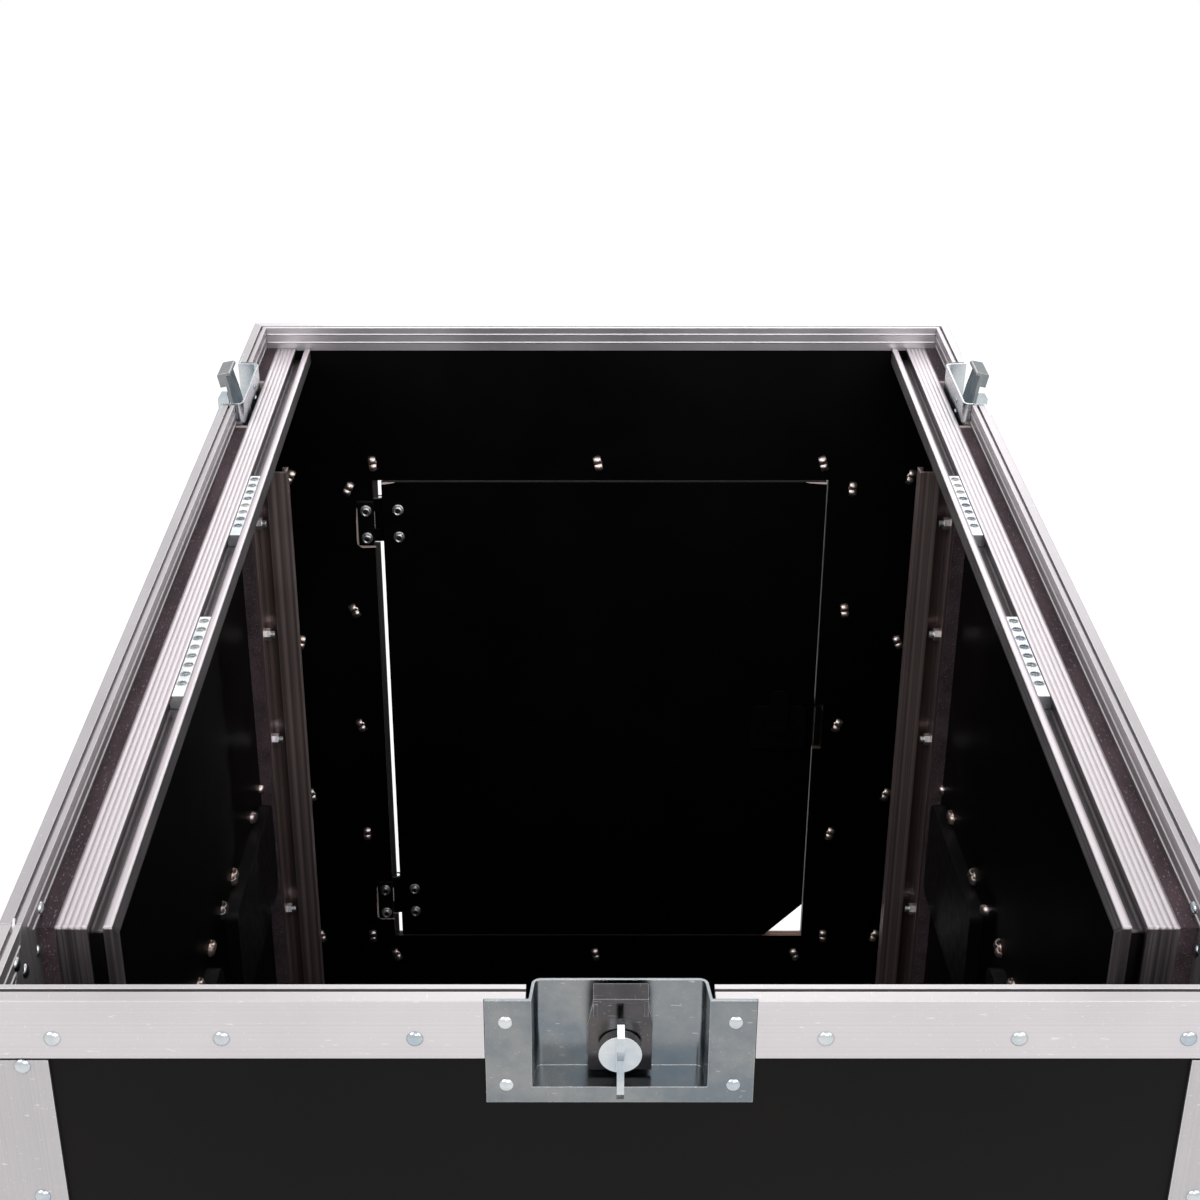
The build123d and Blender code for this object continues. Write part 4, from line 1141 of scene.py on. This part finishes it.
def addLatchRivets():
    heads = bmesh.new()
    lidHeads = bmesh.new()
    size = rivet["small"]
    for side in (-1, 1):
        sideways = Vector((side, 0, 0))
        face = sideways * (caseFrame["panel"] + latch["flange"])
        for origin, across in latch["places"]:
            reach = sideways.cross(across) * latch["along"]
            for way in (-1, 1):
                for down in latch["down"]:
                    addRivetHead(heads, origin + face + reach * way - across * down, sideways, size)
        origin, across = latch["places"][1]
        for way in (-1, 1):
            keeper = origin + face + across * latch["keeperAcross"] + up * (way * latch["along"])
            addRivetHead(lidHeads, keeper, sideways, size)
    for way in (-1, 1):
        for down in latch["down"]:
            spot = latch["centreTop"] + Vector((way * latch["along"], 0, -down))
            addRivetHead(lidHeads, spot, toFront, size)
    keepPiece("latchRivetHeads", heads, "zincPlate", "case")
    keepPiece("lidLatchRivetHeads", lidHeads, "zincPlate", "front_lid")


def addLatchBackRivets():
    # The rivets that hold a latch's works to the back of its dish.
    heads = bmesh.new()
    lidHeads = bmesh.new()
    size = latch["backSize"]
    for side in (-1, 1):
        sideways = Vector((side, 0, 0))
        back = sideways * (caseFrame["panel"] - latch["depth"])
        for origin, across in latch["places"]:
            beside = sideways.cross(across) * latch["backAlong"]
            for down in latch["backDown"]:
                addRivetHead(heads, origin + back + beside - across * down, -sideways, size)
        x = side * latch["backAlong"]
        back = latch["centreTop"] + toRear * (caseFrame["sheet"] + latch["depth"])
        addRivetHead(lidHeads, back + Vector((x, 0, -latch["centreBackDown"])), toRear, size)
    keepPiece("latchBackRivets", heads, "zincPlate", "case")
    keepPiece("centreLatchBackRivets", lidHeads, "zincPlate", "front_lid")


handle = {
    "y": (-0.078, 0.128),
    "z": 0.2995,
    "along": (40 * mm, 81 * mm),
    "up": 46 * mm,
    "flange": 1.5 * mm,
    "prongsIn": 7 * mm,
    "turn": 0.6,
    "seed": 11,
}


def addHandleRivets():
    heads = bmesh.new()
    prongs = bmesh.new()
    turns = random.Random(handle["seed"])
    outside = caseFrame["panel"] + handle["flange"]
    inside = caseFrame["panel"] - handle["prongsIn"]
    for side in (-1, 1):
        sideways = Vector((side, 0, 0))
        for centre in handle["y"]:
            for along in handle["along"]:
                for y in (centre - along, centre + along):
                    for z in (handle["z"] - handle["up"], handle["z"] + handle["up"]):
                        spot = Vector((0, y, z))
                        addRivetHead(heads, spot + sideways * outside, sideways, rivet["small"])
                        spin = turns.uniform(-handle["turn"], handle["turn"])
                        addRivetProngs(prongs, spot + sideways * inside, -sideways, spin)
    keepPiece("handleRivetHeads", heads, "blackSteel", "case")
    keepPiece("handleRivetProngs", prongs, "rivetSteel", "case")


hinge = {
    "z": (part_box("hinge_pins")[1].z - 18.5 * mm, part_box("hinge_pins")[0].z + 18.5 * mm),
    "up": 11.75 * mm,
    "frameX": -0.1885,
    "doorX": -0.1629,
    "outerShift": -5 * mm,  # from the frame leaf's nuts inside to the heads outside
    "leaf": 1 * mm,
    "headRadius": 3.6 * mm,
    "headHeight": 1.8 * mm,
    "endRadius": 2.2 * mm,
    "endHeight": 0.5 * mm,
    "seed": 3,
}


def addHingeBolts():
    # Nuts inside, each with a black disc on its bolt's end as painted shade in the nut's bore; round
    # heads outside.
    outside = caseFrame["rear"] + hinge["leaf"]
    sides = [
        # body, x inside, x outside, face inside
        ("case", hinge["frameX"], hinge["frameX"] + hinge["outerShift"], "hinge_frame_leaves"),
        ("door", hinge["doorX"], hinge["doorX"], "rear_door_panel"),
    ]
    bolts = {"case": bmesh.new(), "door": bmesh.new()}
    ends = {"case": bmesh.new(), "door": bmesh.new()}
    turns = random.Random(hinge["seed"])
    for z in hinge["z"]:
        for height in (z - hinge["up"], z + hinge["up"]):
            for body, x, outerX, face in sides:
                spot = Vector((x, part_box(face)[0].y, height))
                addNut(bolts[body], spot, toFront, turns.uniform(0, 1))
                end = spot + toFront * nut["height"]
                addBoltHead(ends[body], end, toFront, hinge["endRadius"], hinge["endHeight"])
                head = Vector((outerX, outside, height))
                addBoltHead(bolts[body], head, toRear, hinge["headRadius"], hinge["headHeight"])
    keepPiece("hingeFrameBolts", bolts["case"], "nutSteel", "case")
    keepPiece("hingeDoorBolts", bolts["door"], "nutSteel", "door")
    # Black discs, painted shade in the nuts' bores
    keepPiece("hingeFrameBoltEndsPaintedShade", ends["case"], "blackSteel", "case")
    keepPiece("hingeDoorBoltEndsPaintedShade", ends["door"], "blackSteel", "door")


doorLatch = {"across": 26.6 * mm, "up": 23.6 * mm, "size": 0.7}


def addDoorLatchRivets():
    heads = bmesh.new()
    low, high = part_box("door_latch_dish")
    middle = (low + high) / 2
    for x in (-doorLatch["across"], doorLatch["across"]):
        for z in (-doorLatch["up"], doorLatch["up"]):
            spot = Vector((middle.x + x, high.y, middle.z + z))
            addRivetHead(heads, spot, toRear, doorLatch["size"])
    keepPiece("doorLatchRivets", heads, "blackSteel", "door")


bendRivets = {
    "inset": 10 * mm,
    # y and z of the rivets in the inner faces beside the bend, for each body
    "case": ((-0.3030, 0.5830), (-0.3135, 0.5680)),
    "front_lid": ((-0.3420, 0.5810), (-0.3330, 0.5710)),
}


def addBendRivets():
    face = caseFrame["wall"] - bendRivets["inset"]
    for body in ("case", "front_lid"):
        heads = bmesh.new()
        for side in (-1, 1):
            for y, z in bendRivets[body]:
                addRivetHead(heads, Vector((side * face, y, z)), Vector((-side, 0, 0)))
        keepPiece("bendRivets_" + body, heads, "zincPlate", body)


bareRim = {
    "left": -0.1957,
    "right": -0.1826,
    "above": 12 * mm,
    "below": 19.5 * mm,
    "bend": 4 * mm,
    "bendSteps": 4,
    "wide": 2.0 * mm,
    "uneven": 0.3 * mm,
    "seed": 8,
    "lift": (0.12 * mm, 0.02 * mm),
}


def addBareRims():
    # Splintered veneer beside the hinge notches, where the film broke away.
    bm = bmesh.new()
    near, far = bareRim["lift"]
    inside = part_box("rear_panel")[0].y - near
    left, bend = bareRim["left"], bareRim["bend"]
    chips = random.Random(bareRim["seed"])
    for z in hinge["z"]:
        low = z - bareRim["below"]
        path = [(left, z + bareRim["above"]), (left, z), (left, low + bend)]
        for step in range(1, bareRim["bendSteps"] + 1):
            turn = math.pi / 2 * step / bareRim["bendSteps"]
            path.append((left + bend * (1 - math.cos(turn)), low + bend * (1 - math.sin(turn))))
        path.append((bareRim["right"], low))
        points = [Vector((x, inside, height)) for x, height in path]
        middle = Vector((left + bend * 2, inside, low + bend * 2))
        moves = []
        for point in points:
            wide = bareRim["wide"] + chips.uniform(-bareRim["uneven"], bareRim["uneven"])
            moves.append((point - middle).normalized() * wide + toRear * (near - far))
        addRagged(bm, points, moves)
    keepPiece("bareRims", bm, "bareVeneerPaintedBright", "case")


doorChip = {
    # side that the chip runs to, length along the door's top, height
    "left": (1, 11 * mm, 2.0 * mm),
    "right": (-1, 17 * mm, 1.8 * mm),
    "points": 9,
    "taper": 0.6,
    "uneven": 0.15 * mm,
    "seed": 12,
    "lift": 0.05 * mm,
    "edge": 0.05 * mm,
}


def addDoorChips():
    # Film broken off the door panel's upper corners, which leaves pale veneer.
    bm = bmesh.new()
    low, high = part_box("rear_door_panel")
    chips = random.Random(doorChip["seed"])
    for corner, place in ((low.x, "left"), (high.x, "right")):
        side, length, height = doorChip[place]
        points = []
        moves = []
        for index in range(doorChip["points"]):
            share = index / (doorChip["points"] - 1)
            drop = height * (1 - share) ** doorChip["taper"] + chips.uniform(0, doorChip["uneven"])
            x = corner + side * length * share
            points.append(Vector((x, low.y - doorChip["lift"], high.z - doorChip["edge"])))
            moves.append(up * -(drop + doorChip["edge"]))
        addRagged(bm, points, moves)
    keepPiece("doorCornerChips", bm, "bareVeneerPaintedBright", "door")


grip = {
    "radius": 6.75 * mm,
    "rib": 0.3 * mm,
    "half": 38 * mm,
    "step": 3.2 * mm,
    "fromLow": 6.8 * mm,
    "round": (24, 6),
}


def addGripRibs():
    count = int(2 * grip["half"] / grip["step"])
    for place in ("rear", "front"):
        for side in ("left", "right"):
            name = place + "_handle_bail_" + side
            low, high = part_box(name)
            middle = (low + high) / 2
            bm = bmesh.new()
            for index in range(count + 1):
                y = middle.y + (index - count / 2) * grip["step"]
                base = placed(Vector((middle.x, y, low.z + grip["fromLow"])), toRear)
                addRing(bm, base, grip["radius"], grip["rib"], *grip["round"])
            keepPiece("gripRibs_" + name, bm, "gripRubber", name)


addRearRivets()
addDoorChips()
addGripRibs()
addEdgeRivets()
addLidRivets()
addBareRims()
addLatchBackRivets()
addCapRivets()
addLatchRivets()
addHandleRivets()
addHingeBolts()
addDoorLatchRivets()
addBendRivets()
print("rivets, bolts and bare rims ready")

# Threads in the sliding strips
strip = {
    "x": 0.23255,
    "pitch": 9.5 * mm,
    "endBlock": 8.0 * mm,
    "count": 8,
    "runs": {"lower": 0.190, "upper": 0.375},
    "sink": 0.6 * mm,
    "radius": 2.5 * mm,
    # how much wider a ring is than the hole, its thickness and its depth
    "mouth": (0.25 * mm, 0.28 * mm, 0.0),
    "threads": [(-0.12 * mm, 0.22 * mm, depth * mm) for depth in (1.5, 2.5, 3.5, 4.5)],
}


def addThreads(name, start, along, outward):
    bm = bmesh.new()
    for index in range(strip["count"]):
        run = strip["endBlock"] + strip["pitch"] * (index + 0.5)
        centre = start + along * run - outward * strip["sink"]
        for wider, thick, depth in [strip["mouth"]] + strip["threads"]:
            base = placed(centre - outward * depth, outward)
            addRing(bm, base, strip["radius"] + wider, thick)
    keepPiece(name + "_threads", bm, "zincPlate", name)


for side, sign in (("left", -1), ("right", 1)):
    middle = Vector((sign * strip["x"], 0, 0))
    for place, run in strip["runs"].items():
        start = caseFrame["bend"] + slopeUp * run + middle
        addThreads(place + "_strip_" + side, start, slopeUp, slopeOut)
    name = "front_strip_" + side
    start = middle + Vector((0, caseFrame["bend"].y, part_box(name)[0].z))
    addThreads(name, start, up, toFront)
print("threads ready")

# Floor, seen as white, with the object's soft shadow
floor = {
    "size": 16.0,
    "tone": (0.9, 0.9, 0.9, 1),
    "roughness": 0.7,
    "specular": 0.2,
    "whiten": 0.6,
    "shine": 1.46,
}


def makeFloor():
    bm = bmesh.new()
    bmesh.ops.create_grid(bm, x_segments=2, y_segments=2, size=floor["size"])
    data = bpy.data.meshes.new("floor")
    bm.to_mesh(data)
    bm.free()
    piece = bpy.data.objects.new("floor", data)
    bpy.context.scene.collection.objects.link(piece)
    material = bpy.data.materials.new("paleFloor")
    material.use_nodes = True
    tree = material.node_tree
    shader = tree.nodes["Principled BSDF"]
    shader.inputs["Base Color"].default_value = floor["tone"]
    shader.inputs["Roughness"].default_value = floor["roughness"]
    shader.inputs["Specular IOR Level"].default_value = floor["specular"]
    shine = addNode(tree, "ShaderNodeEmission", {"Strength": floor["shine"]})
    blend = tree.nodes.new("ShaderNodeMixShader")
    linkNodes(
        tree,
        (mathNode(tree, "MULTIPLY", seenDirectly(tree), floor["whiten"]), blend.inputs["Fac"]),
        (shader.outputs["BSDF"], blend.inputs[1]),
        (shine.outputs["Emission"], blend.inputs[2]),
        (blend.outputs["Shader"], tree.nodes["Material Output"].inputs["Surface"]),
    )
    piece.data.materials.append(material)


makeFloor()
print("floor ready")
